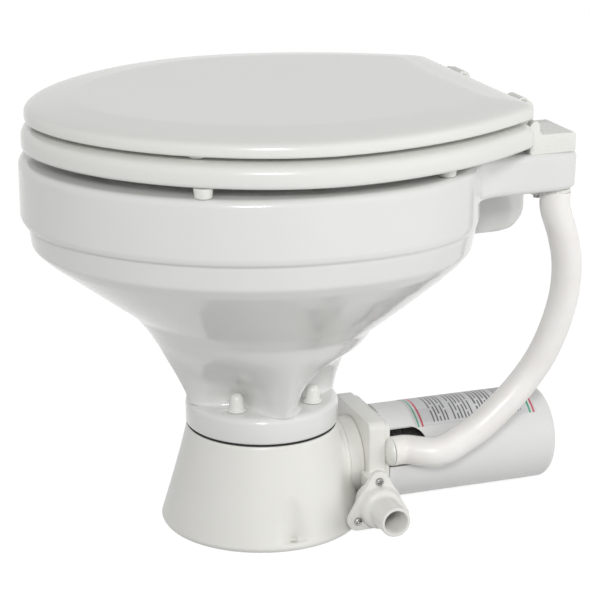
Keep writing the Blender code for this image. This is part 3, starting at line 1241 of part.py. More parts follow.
def make_hinge_fasteners(side, word, plate_top):
    head = plate_top + GAP
    nut_top = deck_underside(HINGE_BOLT_Y - HINGE_NUT_RADIUS) - GAP
    tip = nut_top - HINGE_NUT_HEIGHT - OVERRUN
    bolt = turned([(0.0, head + HINGE_BOLT_HEAD_HEIGHT), (HINGE_BOLT_HEAD_RADIUS, head + HINGE_BOLT_HEAD_HEIGHT),
                   (HINGE_BOLT_HEAD_RADIUS, head), (HINGE_BOLT_RADIUS, head), (HINGE_BOLT_RADIUS, tip),
                   (0.0, tip)], TO_Z, 12)
    bore = HINGE_BOLT_RADIUS + GAP
    nut = turned([(HINGE_NUT_RADIUS, nut_top), (HINGE_NUT_RADIUS, nut_top - HINGE_NUT_HEIGHT / 4),
                  (HINGE_NUT_RADIUS * 0.8, nut_top - HINGE_NUT_HEIGHT / 3),
                  (HINGE_NUT_RADIUS * 0.7, nut_top - HINGE_NUT_HEIGHT),
                  (bore, nut_top - HINGE_NUT_HEIGHT), (bore, nut_top)], TO_Z, 16, closed=True)
    for name, mesh, finish in (("hinge_bolt", bolt, "steel"), ("hinge_nut", nut, "plastic")):
        piece = add_piece(f"{name}_{word}", mesh, finish)
        piece.location = (side * HINGE_BOLT_X, HINGE_BOLT_Y, 0.0)


# Rinse hose
def smooth_route(points, spacing):
    """Points on a smooth curve through the route's own points, about evenly spaced."""
    path = [Vector(point) for point in points]
    path = [2 * path[0] - path[1], *path, 2 * path[-1] - path[-2]]
    result = [path[1]]
    for before, start, end, after in zip(path, path[1:], path[2:], path[3:]):
        steps = max(1, round((end - start).length / spacing))
        for step in range(1, steps + 1):
            part = step / steps
            result.append(0.5 * (2 * start + (end - before) * part
                                 + (2 * before - 5 * start + 4 * end - after) * part ** 2
                                 + (3 * start - before - 3 * end + after) * part ** 3))
    return result


def tube(points, radius):
    """A tube on a POLY spline, made a mesh with welded caps."""
    curve = bpy.data.curves.new("tube", "CURVE")
    curve.dimensions = "3D"
    curve.bevel_depth = radius
    curve.bevel_resolution = (HOSE_SIDES - 4) // 2
    curve.use_fill_caps = True
    spline = curve.splines.new("POLY")
    spline.points.add(len(points) - 1)
    for point, place in zip(spline.points, points):
        point.co = (*place, 1.0)
    item = bpy.data.objects.new("tube", curve)
    cutter_collection.objects.link(item)
    return shade(weld(bake(item)))


def make_hose():
    """Hose pushed over the rinse pump's barb and over the spud under the deck."""
    end_z = spud_seat() - GAP - SPUD_FLANGE - GAP
    start = Vector((BARB_X, RINSE_Y + RINSE_PLATE + GAP, BARB_Z))
    end = Vector((SPUD_X, SPUD_Y, end_z))
    leave = start + Vector((0.0, BARB_LENGTH, 0.0))
    arrive = end - Vector((0.0, 0.0, SPUD_LENGTH))
    way = arrive - leave
    between = [leave + Vector((way.x * across, way.y * along, way.z * up))
               for across, along, up in HOSE_ROUTE_SHARES]
    route = smooth_route([leave, *between, arrive], HOSE_RADIUS)
    outside = [start, *route, end]
    inside = [start - Vector((0.0, OVERRUN, 0.0)), *route, end + Vector((0.0, 0.0, OVERRUN))]
    hose = add_piece("rinse_hose", tube(outside, HOSE_RADIUS), "hose")
    cut(hose, add_cutter("hose_bore", tube(inside, HOSE_BORE_RADIUS)))


def main():
    global part_collection, cutter_collection
    clear_scene()
    part_collection = new_collection("marine_toilet")
    cutter_collection = new_collection("cutters")
    new_anchor("base_axis", (0.0, BASE_Y, 0.0))
    new_anchor("pump_axis", (0.0, 0.0, PUMP_Z), anchors["base_axis"])
    new_anchor("seat_axis", (0.0, HINGE_Y, HINGE_Z), anchors["base_axis"])
    new_anchor("lid_axis", (0.0, HINGE_Y, HINGE_Z), anchors["base_axis"])

    make_base()
    make_gasket()
    make_bowl()
    make_foot_bolts()
    make_spud()
    make_macerator()
    make_pump_body()
    make_choke_plate()
    make_discharge_impeller()
    make_port()
    make_joker_valve()
    make_rinse_pump()
    make_through_bolts()
    make_shaft()
    make_motor()
    make_motor_cover()
    make_seat()
    make_lid()
    make_bumpers()
    make_hinge(-1, "left")
    make_hinge(1, "right")
    make_hose()
    bpy.context.view_layer.update()


main()
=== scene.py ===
"""Looks of the electric marine toilet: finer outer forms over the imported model, materials, light, camera.

Metres, +Z up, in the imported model's own frame: the front of the bowl faces -Y, the motor points to +Y,
and the discharge port and the rinse hose are on the +X side. Shapes are drawn from the base's axis, and
place() moves them into the frame.
"""

import json
import math

import bmesh
import bpy
from mathutils import Matrix, Vector


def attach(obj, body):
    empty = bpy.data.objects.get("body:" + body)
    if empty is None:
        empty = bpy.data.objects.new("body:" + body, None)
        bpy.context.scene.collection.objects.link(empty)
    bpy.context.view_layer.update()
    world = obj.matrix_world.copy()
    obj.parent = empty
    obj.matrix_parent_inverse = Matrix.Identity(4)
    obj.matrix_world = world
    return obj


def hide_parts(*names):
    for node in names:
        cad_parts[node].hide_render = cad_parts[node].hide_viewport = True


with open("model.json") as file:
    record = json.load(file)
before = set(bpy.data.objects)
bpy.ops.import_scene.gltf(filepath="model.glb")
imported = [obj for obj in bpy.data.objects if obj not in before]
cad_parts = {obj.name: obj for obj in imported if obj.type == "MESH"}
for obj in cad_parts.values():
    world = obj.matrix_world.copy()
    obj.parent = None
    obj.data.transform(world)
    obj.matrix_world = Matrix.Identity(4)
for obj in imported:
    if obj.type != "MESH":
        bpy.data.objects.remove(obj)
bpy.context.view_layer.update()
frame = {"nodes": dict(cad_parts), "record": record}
bpy.context.scene.view_settings.view_transform = "Standard"

BASE_Y = -0.0314  # from the frame's origin to the base's axis
PUMP_Z = 0.0435  # height of the shaft that all pumps and the motor share

# Camera, fitted to the photograph
CAMERA_PLACE = (1.5774, -0.5416 + BASE_Y, 0.7141)
CAMERA_BACK = (0.8978, -0.3253, 0.2968)
CAMERA_RIGHT = (0.3406, 0.9402, 0.0)
LENS = 128.28
SENSOR = 36.0


def link(item):
    bpy.context.scene.collection.objects.link(item)
    return item


def make_camera():
    data = bpy.data.cameras.new("camera")
    data.lens = LENS
    data.sensor_width = SENSOR
    data.sensor_fit = "HORIZONTAL"
    camera = link(bpy.data.objects.new("camera", data))
    back = Vector(CAMERA_BACK).normalized()
    right = Vector(CAMERA_RIGHT).normalized()
    up = back.cross(right)
    turn = Matrix((right, up, back)).transposed().to_4x4()
    camera.matrix_world = Matrix.Translation(CAMERA_PLACE) @ turn
    bpy.context.scene.camera = camera


make_camera()


# Small tools for meshes
JOIN_WITHIN = 0.000002


def new_mesh(name, vertices, faces):
    mesh = bpy.data.meshes.new(name)
    mesh.from_pydata(vertices, [], faces)
    mesh.update()
    return mesh


def outward(mesh):
    """Join doubled vertices and point the faces out."""
    work = bmesh.new()
    work.from_mesh(mesh)
    bmesh.ops.remove_doubles(work, verts=work.verts, dist=JOIN_WITHIN)
    bmesh.ops.recalc_face_normals(work, faces=work.faces)
    work.to_mesh(mesh)
    work.free()
    return mesh


def loft(rings, closed=False, cap=False):
    """Skin rings that have the same number of points."""
    count = len(rings[0])
    vertices = [point for ring in rings for point in ring]
    faces = []
    spans = len(rings) if closed else len(rings) - 1
    for row in range(spans):
        low = row * count
        high = (row + 1) % len(rings) * count
        for index in range(count):
            after = (index + 1) % count
            faces.append((low + index, low + after, high + after, high + index))
    if cap:
        faces.append(tuple(range(count)))
        faces.append(tuple(range(len(vertices) - count, len(vertices))))
    return outward(new_mesh("loft", vertices, faces))


AXIS_Z = Matrix.Identity(4)
AXIS_Y = Matrix.Rotation(math.radians(-90.0), 4, "X")
AXIS_X = Matrix.Rotation(math.radians(90.0), 4, "Y")


def circle(radius, height, angles):
    return [(radius * math.cos(angle), radius * math.sin(angle), height) for angle in angles]


def quarter(steps):
    """The angles of a quarter turn in even steps."""
    return [math.pi / 2 * step / steps for step in range(steps + 1)]


def turned(profile, facing=AXIS_Z, turns=72, closed=False):
    """Turn a profile of (radius, height) points round an axis."""
    angles = [math.tau * index / turns for index in range(turns)]
    mesh = loft([circle(radius, height, angles) for radius, height in profile], closed)
    mesh.transform(facing)
    return mesh


def rod(radius, high, low, facing, turns):
    """A plain cylinder, mostly to cut a bore."""
    return turned([(0.0, high), (radius, high), (radius, low), (0.0, low)], facing, turns)


def rounded(corners, radius, steps=4, closed=False):
    """A chain of (across, up) corners with each inner corner rounded off."""
    chain = []
    count = len(corners)
    for index, corner in enumerate(corners):
        if not closed and index in (0, count - 1):
            chain.append(corner)
            continue
        here = Vector(corner)
        before = Vector(corners[index - 1]) - here
        after = Vector(corners[(index + 1) % count]) - here
        reach = min(radius, before.length * 0.45, after.length * 0.45)
        start = here + before.normalized() * reach
        end = here + after.normalized() * reach
        for step in range(steps + 1):
            part = step / steps
            point = start * (1 - part) ** 2 + here * 2 * part * (1 - part) + end * part ** 2
            chain.append((point.x, point.y))
    return chain


def object_of(mesh):
    return link(bpy.data.objects.new("work", mesh))


def baked(item):
    """Apply an object's modifiers, and remove the object."""
    graph = bpy.context.evaluated_depsgraph_get()
    mesh = bpy.data.meshes.new_from_object(item.evaluated_get(graph))
    bpy.data.objects.remove(item, do_unlink=True)
    return mesh


def combined(mesh, other, operation):
    """Join another mesh to a mesh, or cut it away, and remove both objects."""
    item = object_of(mesh)
    tool = object_of(other)
    step = item.modifiers.new("combine", "BOOLEAN")
    step.operation = operation
    step.solver = "EXACT"
    step.object = tool
    result = baked(item)
    bpy.data.objects.remove(tool, do_unlink=True)
    return result


def joined(mesh, other):
    return combined(mesh, other, "UNION")


def cut(mesh, tool):
    return combined(mesh, tool, "DIFFERENCE")


def eased(mesh, width):
    """Round the edges that are sharper than 40 degrees."""
    item = object_of(mesh)
    step = item.modifiers.new("ease", "BEVEL")
    step.width = width
    step.segments = 3
    step.limit_method = "ANGLE"
    step.angle_limit = math.radians(40.0)
    step.harden_normals = False
    return baked(item)


def block(low, high):
    """A box between two corners."""
    work = bmesh.new()
    bmesh.ops.create_cube(work, size=1.0)
    bmesh.ops.scale(work, vec=Vector(high) - Vector(low), verts=work.verts)
    bmesh.ops.translate(work, vec=(Vector(high) + Vector(low)) / 2, verts=work.verts)
    mesh = bpy.data.meshes.new("block")
    work.to_mesh(mesh)
    work.free()
    return mesh


# Axes of a prism: its outline is drawn in (x, z) for FACING_Y, and in (y, z) for FACING_X
FACING_Y = Matrix(((1, 0, 0, 0), (0, 0, 1, 0), (0, 1, 0, 0), (0, 0, 0, 1)))
FACING_X = Matrix(((0, 0, 1, 0), (1, 0, 0, 0), (0, 1, 0, 0), (0, 0, 0, 1)))


def prism(outline, low, high, facing):
    """An outline as a solid between two places along the axis that it faces."""
    rings = [[(across, along, height) for across, along in outline] for height in (low, high)]
    mesh = loft(rings, cap=True)
    mesh.transform(facing)
    return outward(mesh)


def round_corners(left, right, low, high, corner, steps=6):
    """The outline of a rectangle with round corners."""
    points = []
    centres = ((right - corner, high - corner), (left + corner, high - corner),
               (left + corner, low + corner), (right - corner, low + corner))
    for index, (across, up) in enumerate(centres):
        for step in range(steps + 1):
            angle = math.pi / 2 * (index + step / steps)
            points.append((across + corner * math.cos(angle), up + corner * math.sin(angle)))
    return points


def moved(mesh, across=0.0, along=0.0, up=0.0):
    mesh.transform(Matrix.Translation((across, along, up)))
    return mesh


def place(name, mesh, finish, body="root", nodes=(), sharp=35.0):
    """Put a finished mesh into the frame, on its body, in place of the nodes that it stands for."""
    mesh.transform(Matrix.Translation((0.0, BASE_Y, 0.0)))
    mesh.shade_smooth()
    mesh.set_sharp_from_angle(angle=math.radians(sharp))
    mesh.materials.clear()
    mesh.materials.append(FINISHES[finish])
    piece = link(bpy.data.objects.new(name, mesh))
    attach(piece, body)
    if nodes:
        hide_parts(*nodes)
    return piece


# Materials
def new_material(name):
    """A new material with its nodes, its links and its shader."""
    made = bpy.data.materials.new(name)
    made.use_nodes = True
    return made, made.node_tree.nodes, made.node_tree.links, made.node_tree.nodes["Principled BSDF"]


def noise(nodes, links, scale, detail=3.0, stretch=(1.0, 1.0, 1.0)):
    """Noise over the object's own coordinates, in metres."""
    where = nodes.new("ShaderNodeTexCoord")
    mapping = nodes.new("ShaderNodeMapping")
    mapping.inputs["Scale"].default_value = stretch
    texture = nodes.new("ShaderNodeTexNoise")
    texture.inputs["Scale"].default_value = scale
    texture.inputs["Detail"].default_value = detail
    links.new(where.outputs["Object"], mapping.inputs["Vector"])
    links.new(mapping.outputs["Vector"], texture.inputs["Vector"])
    return texture.outputs["Fac"]


def spread(nodes, links, source, low, high):
    """Map a noise value of about 0.3 to 0.7 to a range."""
    step = nodes.new("ShaderNodeMapRange")
    step.inputs["From Min"].default_value = 0.3
    step.inputs["From Max"].default_value = 0.7
    step.inputs["To Min"].default_value = low
    step.inputs["To Max"].default_value = high
    links.new(source, step.inputs["Value"])
    return step.outputs["Result"]


def bump(nodes, links, shader, source, strength, distance):
    """Fine relief from a noise value, its depth in metres."""
    step = nodes.new("ShaderNodeBump")
    step.inputs["Strength"].default_value = strength
    step.inputs["Distance"].default_value = distance
    links.new(source, step.inputs["Height"])
    links.new(step.outputs["Normal"], shader.inputs["Normal"])


def toned(nodes, links, source, dark, light):
    """Colour that drifts a little between two tones with a noise value."""
    mix = nodes.new("ShaderNodeMix")
    mix.data_type = "RGBA"
    mix.inputs["A"].default_value = (*dark, 1.0)
    mix.inputs["B"].default_value = (*light, 1.0)
    links.new(spread(nodes, links, source, 0.0, 1.0), mix.inputs["Factor"])
    return mix.outputs["Result"]


MOULD_GRAIN = 0.00002
BRUSH_DEPTH = 0.00005


def moulded(name, dark, light, rough, grain, relief, patches=14.0, coat=0.0, metallic=0.0):
    """A moulded or fired surface: slow change of tone, fine grain in its gloss and its relief."""
    made, nodes, links, shader = new_material(name)
    slow = noise(nodes, links, patches, 2.0)
    fine = noise(nodes, links, grain, 2.0)
    links.new(toned(nodes, links, slow, dark, light), shader.inputs["Base Color"])
    links.new(spread(nodes, links, fine, rough * 0.95, rough * 1.05), shader.inputs["Roughness"])
    bump(nodes, links, shader, fine, relief, MOULD_GRAIN)
    shader.inputs["Metallic"].default_value = metallic
    if coat:
        shader.inputs["Coat Weight"].default_value = coat
        shader.inputs["Coat Roughness"].default_value = 0.06
    return made


def brushed(name, colour, rough, stretch):
    """Metal with fine brush marks along one direction."""
    made, nodes, links, shader = new_material(name)
    marks = noise(nodes, links, 160.0, 5.0, stretch)
    dark = tuple(value * 0.86 for value in colour)
    links.new(toned(nodes, links, marks, dark, colour), shader.inputs["Base Color"])
    links.new(spread(nodes, links, marks, rough * 0.7, rough * 1.3), shader.inputs["Roughness"])
    bump(nodes, links, shader, marks, 0.15, BRUSH_DEPTH)
    shader.inputs["Metallic"].default_value = 1.0
    return made


def hose_material():
    """Soft translucent vinyl with a warm body and a slight mottle."""
    made, nodes, links, shader = new_material("hose_vinyl")
    slow = noise(nodes, links, 26.0, 2.0)
    fine = noise(nodes, links, 500.0, 3.0)
    colour = toned(nodes, links, slow, (0.86, 0.84, 0.81), (0.91, 0.895, 0.87))
    links.new(colour, shader.inputs["Base Color"])
    links.new(spread(nodes, links, fine, 0.28, 0.38), shader.inputs["Roughness"])
    bump(nodes, links, shader, fine, 0.06, 0.00004)
    shader.inputs["Subsurface Weight"].default_value = 0.15
    shader.inputs["Subsurface Radius"].default_value = (0.006, 0.005, 0.004)
    return made


def label_material():
    """Silver plate: brushed, with plain dark rules across it, a border of plain stripes, and a painted
    sheen round its curve, the last three from the colour attribute.
    """
    made, nodes, links, shader = new_material("label_silver")
    marks = noise(nodes, links, 220.0, 4.0, (1.0, 0.06, 1.0))
    # The colour attribute holds the print and a painted sheen round the plate's curve
    colours = nodes.new("ShaderNodeAttribute")
    colours.attribute_name = "print_and_sheen"
    silver = toned(nodes, links, marks, (0.90, 0.90, 0.90), (1.0, 1.0, 1.0))
    both = nodes.new("ShaderNodeMix")
    both.data_type = "RGBA"
    both.blend_type = "MULTIPLY"
    both.inputs["Factor"].default_value = 1.0
    links.new(silver, both.inputs["A"])
    links.new(colours.outputs["Color"], both.inputs["B"])
    links.new(both.outputs["Result"], shader.inputs["Base Color"])
    links.new(spread(nodes, links, marks, 0.30, 0.42), shader.inputs["Roughness"])
    shader.inputs["Metallic"].default_value = 0.55
    bump(nodes, links, shader, marks, 0.10, BRUSH_DEPTH)
    return made


FINISHES = {
    "glaze": moulded("bowl_glaze", (0.735, 0.735, 0.72), (0.76, 0.76, 0.745), 0.16, 90.0, 0.04, 9.0, 0.3),
    "enamel": moulded("seat_enamel", (0.765, 0.77, 0.735), (0.785, 0.79, 0.755), 0.20, 140.0, 0.05, 9.0,
                      0.3),
    "housing": moulded("housing_plastic", (0.775, 0.77, 0.735), (0.80, 0.795, 0.76), 0.30, 150.0, 0.05),
    "fitting": moulded("fitting_plastic", (0.76, 0.76, 0.725), (0.79, 0.79, 0.755), 0.28, 150.0, 0.05),
    "shroud": moulded("shroud_paint", (0.745, 0.745, 0.735), (0.765, 0.765, 0.755), 0.34, 140.0, 0.05),
    "rubber": moulded("black_rubber", (0.012, 0.012, 0.012), (0.020, 0.020, 0.020), 0.62, 700.0, 0.25),
    "winding": moulded("winding_copper", (0.42, 0.20, 0.09), (0.55, 0.28, 0.13), 0.38, 400.0, 0.3, 60.0,
                       metallic=1.0),
    "steel": brushed("bright_steel", (0.42, 0.42, 0.41), 0.24, (1.0, 14.0, 14.0)),
    "hose": hose_material(),
    "label": label_material(),
}
SLOT_FINISH = {
    "ceramic": "glaze", "seat_enamel": "enamel", "housing_plastic": "housing", "fitting_plastic": "fitting",
    "hose_vinyl": "hose", "shroud_paint": "shroud", "black_rubber": "rubber", "stainless": "steel",
    "winding": "winding",
}


def finish_nodes():
    """Give every carried-over node the finish of its slot."""
    for part in frame["record"]["subparts"]:
        node = frame["nodes"][part["node"]]
        node.data.materials.clear()
        node.data.materials.append(FINISHES[SLOT_FINISH[part["material_slot"]]])


finish_nodes()


# Light and stage
def area_light(name, spot, target, size, power, glossy=False):
    """A rectangular lamp, aimed at a target, that shows as a reflection only where it is asked to."""
    data = bpy.data.lights.new(name, "AREA")
    data.shape = "RECTANGLE"
    data.size, data.size_y = size
    data.energy = power
    lamp = link(bpy.data.objects.new(name, data))
    lamp.location = spot
    lamp.rotation_euler = (Vector(target) - Vector(spot)).to_track_quat("-Z", "Y").to_euler()
    lamp.visible_glossy = glossy
    return lamp


def any_ray(nodes, links, *kinds):
    """One for rays of any of these kinds, and nought for all others."""
    path = nodes.new("ShaderNodeLightPath")
    found = path.outputs[kinds[0]]
    for kind in kinds[1:]:
        step = nodes.new("ShaderNodeMath")
        step.operation = "MAXIMUM"
        links.new(found, step.inputs[0])
        links.new(path.outputs[kind], step.inputs[1])
        found = step.outputs[0]
    return found


def choice(nodes, links, factor, first, second, output):
    """Send the first shader to an output node, or the second where the factor is one."""
    mix = nodes.new("ShaderNodeMixShader")
    links.new(factor, mix.inputs["Fac"])
    links.new(first.outputs[0], mix.inputs[1])
    links.new(second.outputs[0], mix.inputs[2])
    links.new(mix.outputs[0], nodes.new(output).inputs["Surface"])


FILL = 0.355
WHITE = 1.0


def make_light():
    """White surround: what the camera and the gloss see is white, and what falls on the part is softer."""
    world = bpy.data.worlds.new("world")
    world.use_nodes = True
    bpy.context.scene.world = world
    nodes = world.node_tree.nodes
    links = world.node_tree.links
    nodes.clear()
    shown = any_ray(nodes, links, "Is Camera Ray", "Is Transmission Ray", "Is Glossy Ray")
    fill = nodes.new("ShaderNodeBackground")
    fill.inputs["Color"].default_value = (1.0, 1.0, 0.99, 1.0)
    fill.inputs["Strength"].default_value = FILL
    white = nodes.new("ShaderNodeBackground")
    white.inputs["Strength"].default_value = WHITE
    white.inputs["Color"].default_value = (1.0, 1.0, 1.0, 1.0)
    choice(nodes, links, shown, fill, white, "ShaderNodeOutputWorld")
    area_light("key", (1.75, -0.62, 1.20), (0.0, 0.0, 0.25), (0.35, 0.35), 17.0, True)
    area_light("right", (1.3, 1.5, 0.55), (0.0, 0.05, 0.2), (1.2, 1.2), 16.0)
    area_light("left", (0.7, -1.9, 0.7), (0.0, 0.0, 0.2), (1.0, 1.0), 4.0)


make_light()


# Ceramic bowl
FOOT_RADIUS = 0.0643
FOOT_Z = 0.0865
FOOT_TOP = 0.1090
RIM_Z = 0.3225
RISE = RIM_Z - FOOT_TOP
BOWL_Y = 0.0038
BOWL_HALF = 0.1769
BOWL_FRONT = 0.2010
BOWL_REAR = 0.1640
FRONT_POWER = 1.95
REAR_POWER = 2.5
OUTLET_RADIUS = 0.026
WALL = 0.009
BAND_FROM = 0.72  # share of the way up where the stepped bands begin
WALL_SOFT = 0.014
BAND_SOFT = 0.004
POCKET_SOFT = 0.03
POCKET_POWER = 1.3
FOOT_EDGE = 0.003
FOOT_SHOULDER = 0.0055
WALL_FILLET = 0.005
RIM_EDGE = 0.006
RIM_WIDTH = 0.038
RIM_INNER_EDGE = 0.005
DECK_UNDER = 0.2895
DECK_HALF = 0.104
DECK_REAR = 0.2362
DECK_EDGE = 0.005
DECK_DRAFT = 0.0005
DECK_BLEND = 0.022
BOSS_HALF = 0.030
BOSS_REAR = 0.2222
BOSS_DEPTH = 0.050
BOSS_ROUND = 0.020
BOSS_BLEND = 0.010

# Share of the way up the wall, then of the way from the foot's edge to the rim's, in front and at the rear
WALL_SHARES = (
    (0.0, 0.0, 0.0), (0.047, 0.024, 0.024), (0.112, 0.073, 0.073), (0.183, 0.134, 0.134),
    (0.248, 0.187, 0.210), (0.316, 0.256, 0.265), (0.378, 0.336, 0.408), (0.440, 0.471, 0.541),
    (0.500, 0.600, 0.662), (0.562, 0.733, 0.789), (0.628, 0.874, 0.906), (0.665, 0.936, 0.955),
    (0.742, 0.953, 0.982), (0.756, 0.956, 0.984), (0.766, 0.990, 0.995), (0.785, 1.000, 1.000),
    (0.930, 1.000, 1.000), (1.0, 1.0, 1.0),
)
# Share of the way up, then the depth of the four pockets for the foot bolts as a share of the foot's radius
POCKET_SHARES = (
    (0.0, 0.455), (0.047, 0.470), (0.112, 0.400), (0.183, 0.215), (0.248, 0.050), (0.30, 0.0), (1.0, 0.0),
)
# The well inside the bowl: share of the way up, then radius
WELL_TABLE = (
    (0.33, 0.0860), (0.30, 0.0800), (0.26, 0.0720), (0.215, 0.0643), (0.18, 0.0540), (0.145, 0.0450),
    (0.11, 0.0375), (0.08, 0.0315), (0.05, 0.0278), (0.02, OUTLET_RADIUS),
)


def between(table, height, column):
    """The table's value at a height, on straight lines between its rows."""
    for low, high in zip(table, table[1:]):
        if height <= high[0]:
            part = (height - low[0]) / (high[0] - low[0])
            return low[column] + (high[column] - low[column]) * part
    return table[-1][column]


def softened(table, height, column, reach):
    """The table's value with its corners rounded over a reach of height."""
    total = 0.0
    weights = 0.0
    for step in range(-6, 7):
        weight = math.exp(-0.5 * (step / 2.6) ** 2)
        at = min(max(height + reach * step / 6, 0.0), 1.0)
        total += weight * between(table, at, column)
        weights += weight
    return total / weights


def egg(angle):
    """Distance from the bowl's centre to its egg shaped rim."""
    rear = math.sin(angle) > 0
    power = REAR_POWER if rear else FRONT_POWER
    length = BOWL_REAR if rear else BOWL_FRONT
    across = (abs(math.cos(angle)) / BOWL_HALF) ** power
    along = (abs(math.sin(angle)) / length) ** power
    return (across + along) ** (-1 / power)


def bowl_angles():
    """Even steps round the bowl, with finer ones where the deck and its boss turn their corners."""
    angles = []
    degrees = 0.0
    while degrees < 359.9:
        angles.append(math.radians(degrees))
        degrees += 0.75 if 52 <= degrees < 128 else 2.5
    return angles


ANGLES = bowl_angles()


def blended(first, second, reach):
    """The larger of two distances, eased where they are close."""
    near = max(reach - abs(first - second), 0.0) / reach
    return max(first, second) + near * near * reach / 4


def deck_reach(angle, inward):
    """Distance from the bowl's centre to the deck's edge, its rear corners rounded."""
    if math.sin(angle) <= 0.1:
        return 0.0
    side = (DECK_HALF - inward) / max(abs(math.cos(angle)), 1e-6)
    rear = (DECK_REAR - inward) / math.sin(angle)
    return (side ** -20 + rear ** -20) ** (-1 / 20)


def boss_reach(angle, rear):
    """Distance from the bowl's centre to the face of the boss under the deck."""
    if math.sin(angle) <= 0.9:
        return 0.0
    side = BOSS_HALF / max(abs(math.cos(angle)), 1e-6)
    return (side ** -24 + (rear / math.sin(angle)) ** -24) ** (-1 / 24)


def bowl_ring(height, inward=0.0, deck_inward=None, boss_rear=0.0, fillet=0.0):
    """A ring of the wall, out to the deck or the boss where these are asked for."""
    share_of_height = (height - FOOT_TOP) / RISE
    reach = WALL_SOFT if share_of_height < BAND_FROM else BAND_SOFT
    front = softened(WALL_SHARES, share_of_height, 1, reach)
    rear = softened(WALL_SHARES, share_of_height, 2, reach)
    pocket = softened(POCKET_SHARES, share_of_height, 1, POCKET_SOFT)
    ring = []
    for angle in ANGLES:
        share = front + (rear - front) * (1 + math.sin(angle)) / 2
        radius = FOOT_RADIUS + (egg(angle) - FOOT_RADIUS) * share - inward
        hollow = abs(math.sin(2 * angle)) ** POCKET_POWER
        radius -= FOOT_RADIUS * pocket * hollow - fillet * min(1.0, 1.6 * hollow)
        if deck_inward is not None:
            radius = blended(radius, deck_reach(angle, deck_inward), DECK_BLEND)
        elif boss_rear:
            radius = blended(radius, boss_reach(angle, boss_rear), BOSS_BLEND)
        ring.append((radius * math.cos(angle), radius * math.sin(angle) + BOWL_Y * share, height))
    return ring


def bowl_outside():
    """Rings from the outlet under the foot, up the wall, the deck and its boss, to the rim."""
    rings = [circle(OUTLET_RADIUS, FOOT_Z, ANGLES)]
    for turn in quarter(4):
        rings.append(circle(FOOT_RADIUS - FOOT_EDGE + FOOT_EDGE * math.sin(turn),
                            FOOT_Z + FOOT_EDGE * (1 - math.cos(turn)), ANGLES))
    for turn in quarter(5):
        rings.append(circle(FOOT_RADIUS - FOOT_SHOULDER + FOOT_SHOULDER * math.cos(turn),
                            FOOT_TOP - FOOT_SHOULDER * (1 - math.sin(turn)), ANGLES))
    ledge = circle(FOOT_RADIUS - FOOT_SHOULDER, FOOT_TOP, ANGLES)
    wall = bowl_ring(FOOT_TOP, fillet=WALL_FILLET)
    for part in (0.4, 0.75, 0.93):
        rings.append([tuple(Vector(start).lerp(Vector(end), part)) for start, end in zip(ledge, wall)])
    for turn in quarter(5)[:-1]:
        rings.append(bowl_ring(FOOT_TOP + WALL_FILLET * (1 - math.cos(turn)),
                               fillet=WALL_FILLET * (1 - math.sin(turn))))
    height = FOOT_TOP + WALL_FILLET
    boss_low = DECK_UNDER - BOSS_DEPTH
    while height < boss_low - 0.0005:
        rings.append(bowl_ring(height))
        height += 0.0024
    for step in range(46):
        height = boss_low + (DECK_UNDER - 0.0005 - boss_low) * (step / 45)
        drop = max(0.0, 1.0 - (height - boss_low) / BOSS_ROUND)
        rear = BOSS_REAR - BOSS_ROUND * (1 - math.sqrt(max(0.0, 1.0 - drop ** 2)))
        rings.append(bowl_ring(height, boss_rear=rear))
    for turn in quarter(5):
        rings.append(bowl_ring(DECK_UNDER + DECK_EDGE * (1 - math.cos(turn)),
                               deck_inward=DECK_DRAFT + DECK_EDGE - DECK_EDGE * math.sin(turn)))
    for step in range(1, 8):
        part = step / 7
        height = DECK_UNDER + DECK_EDGE + (RIM_Z - RIM_EDGE - DECK_UNDER - DECK_EDGE) * part
        rings.append(bowl_ring(height, deck_inward=DECK_DRAFT * (1 - part)))
    for turn in quarter(6)[1:]:
        inward = RIM_EDGE * (1 - math.cos(turn))
        rings.append(bowl_ring(RIM_Z - RIM_EDGE + RIM_EDGE * math.sin(turn), inward, inward))
    return rings


def bowl_inside():
    """Rings from the rim's inner edge, round its hollow lip, down the wall and the well to the outlet."""
    rings = []
    for turn in quarter(4):
        rings.append(bowl_ring(RIM_Z - RIM_INNER_EDGE + RIM_INNER_EDGE * math.cos(turn),
                               RIM_WIDTH + RIM_INNER_EDGE * math.sin(turn)))
    for drop, inward in ((0.024, 0.043), (0.026, 0.041), (0.026, 0.035), (0.024, 0.033), (0.011, 0.033),
                         (0.010, 0.011)):
        rings.append(bowl_ring(RIM_Z - drop, inward))
    height = RIM_Z - 0.014
    while height > FOOT_TOP + RISE * 0.36:
        rings.append(bowl_ring(height, WALL))
        height -= 0.006
    for share, radius in WELL_TABLE:
        rings.append(circle(radius, FOOT_TOP + RISE * share, ANGLES))
    return rings


place("bowl_body", loft(bowl_outside() + bowl_inside(), closed=True), "glaze", nodes=("bowl",),
      sharp=60.0)


# Base pedestal
BASE_HEIGHT = 0.085
BASE_TOP_RADIUS = 0.0638
BASE_FOOT_RADIUS = 0.0870
FLARE_POWER = 1.12
FLUTE_FACE = 0.0740
FLUTE_RADIUS = 0.0095
FLUTE_FLOOR = 0.0066
FLOOR_SCREW_X = 0.07855


def flare(height):
    """The wall's radius, which widens towards the foot."""
    share = max(1 - height / BASE_HEIGHT, 0.0) ** FLARE_POWER
    return BASE_TOP_RADIUS + (BASE_FOOT_RADIUS - BASE_TOP_RADIUS) * share


def base_angles():
    """Steps round the base, finer at the two flutes."""
    angles = []
    for centre in (0.0, 180.0):
        offset = -90.0
        while offset < 89.99:
            angles.append(math.radians(centre + offset))
            offset += 0.8 if -12.0 <= offset < 12.0 else 3.0
    return angles


BASE_ANGLES = base_angles()


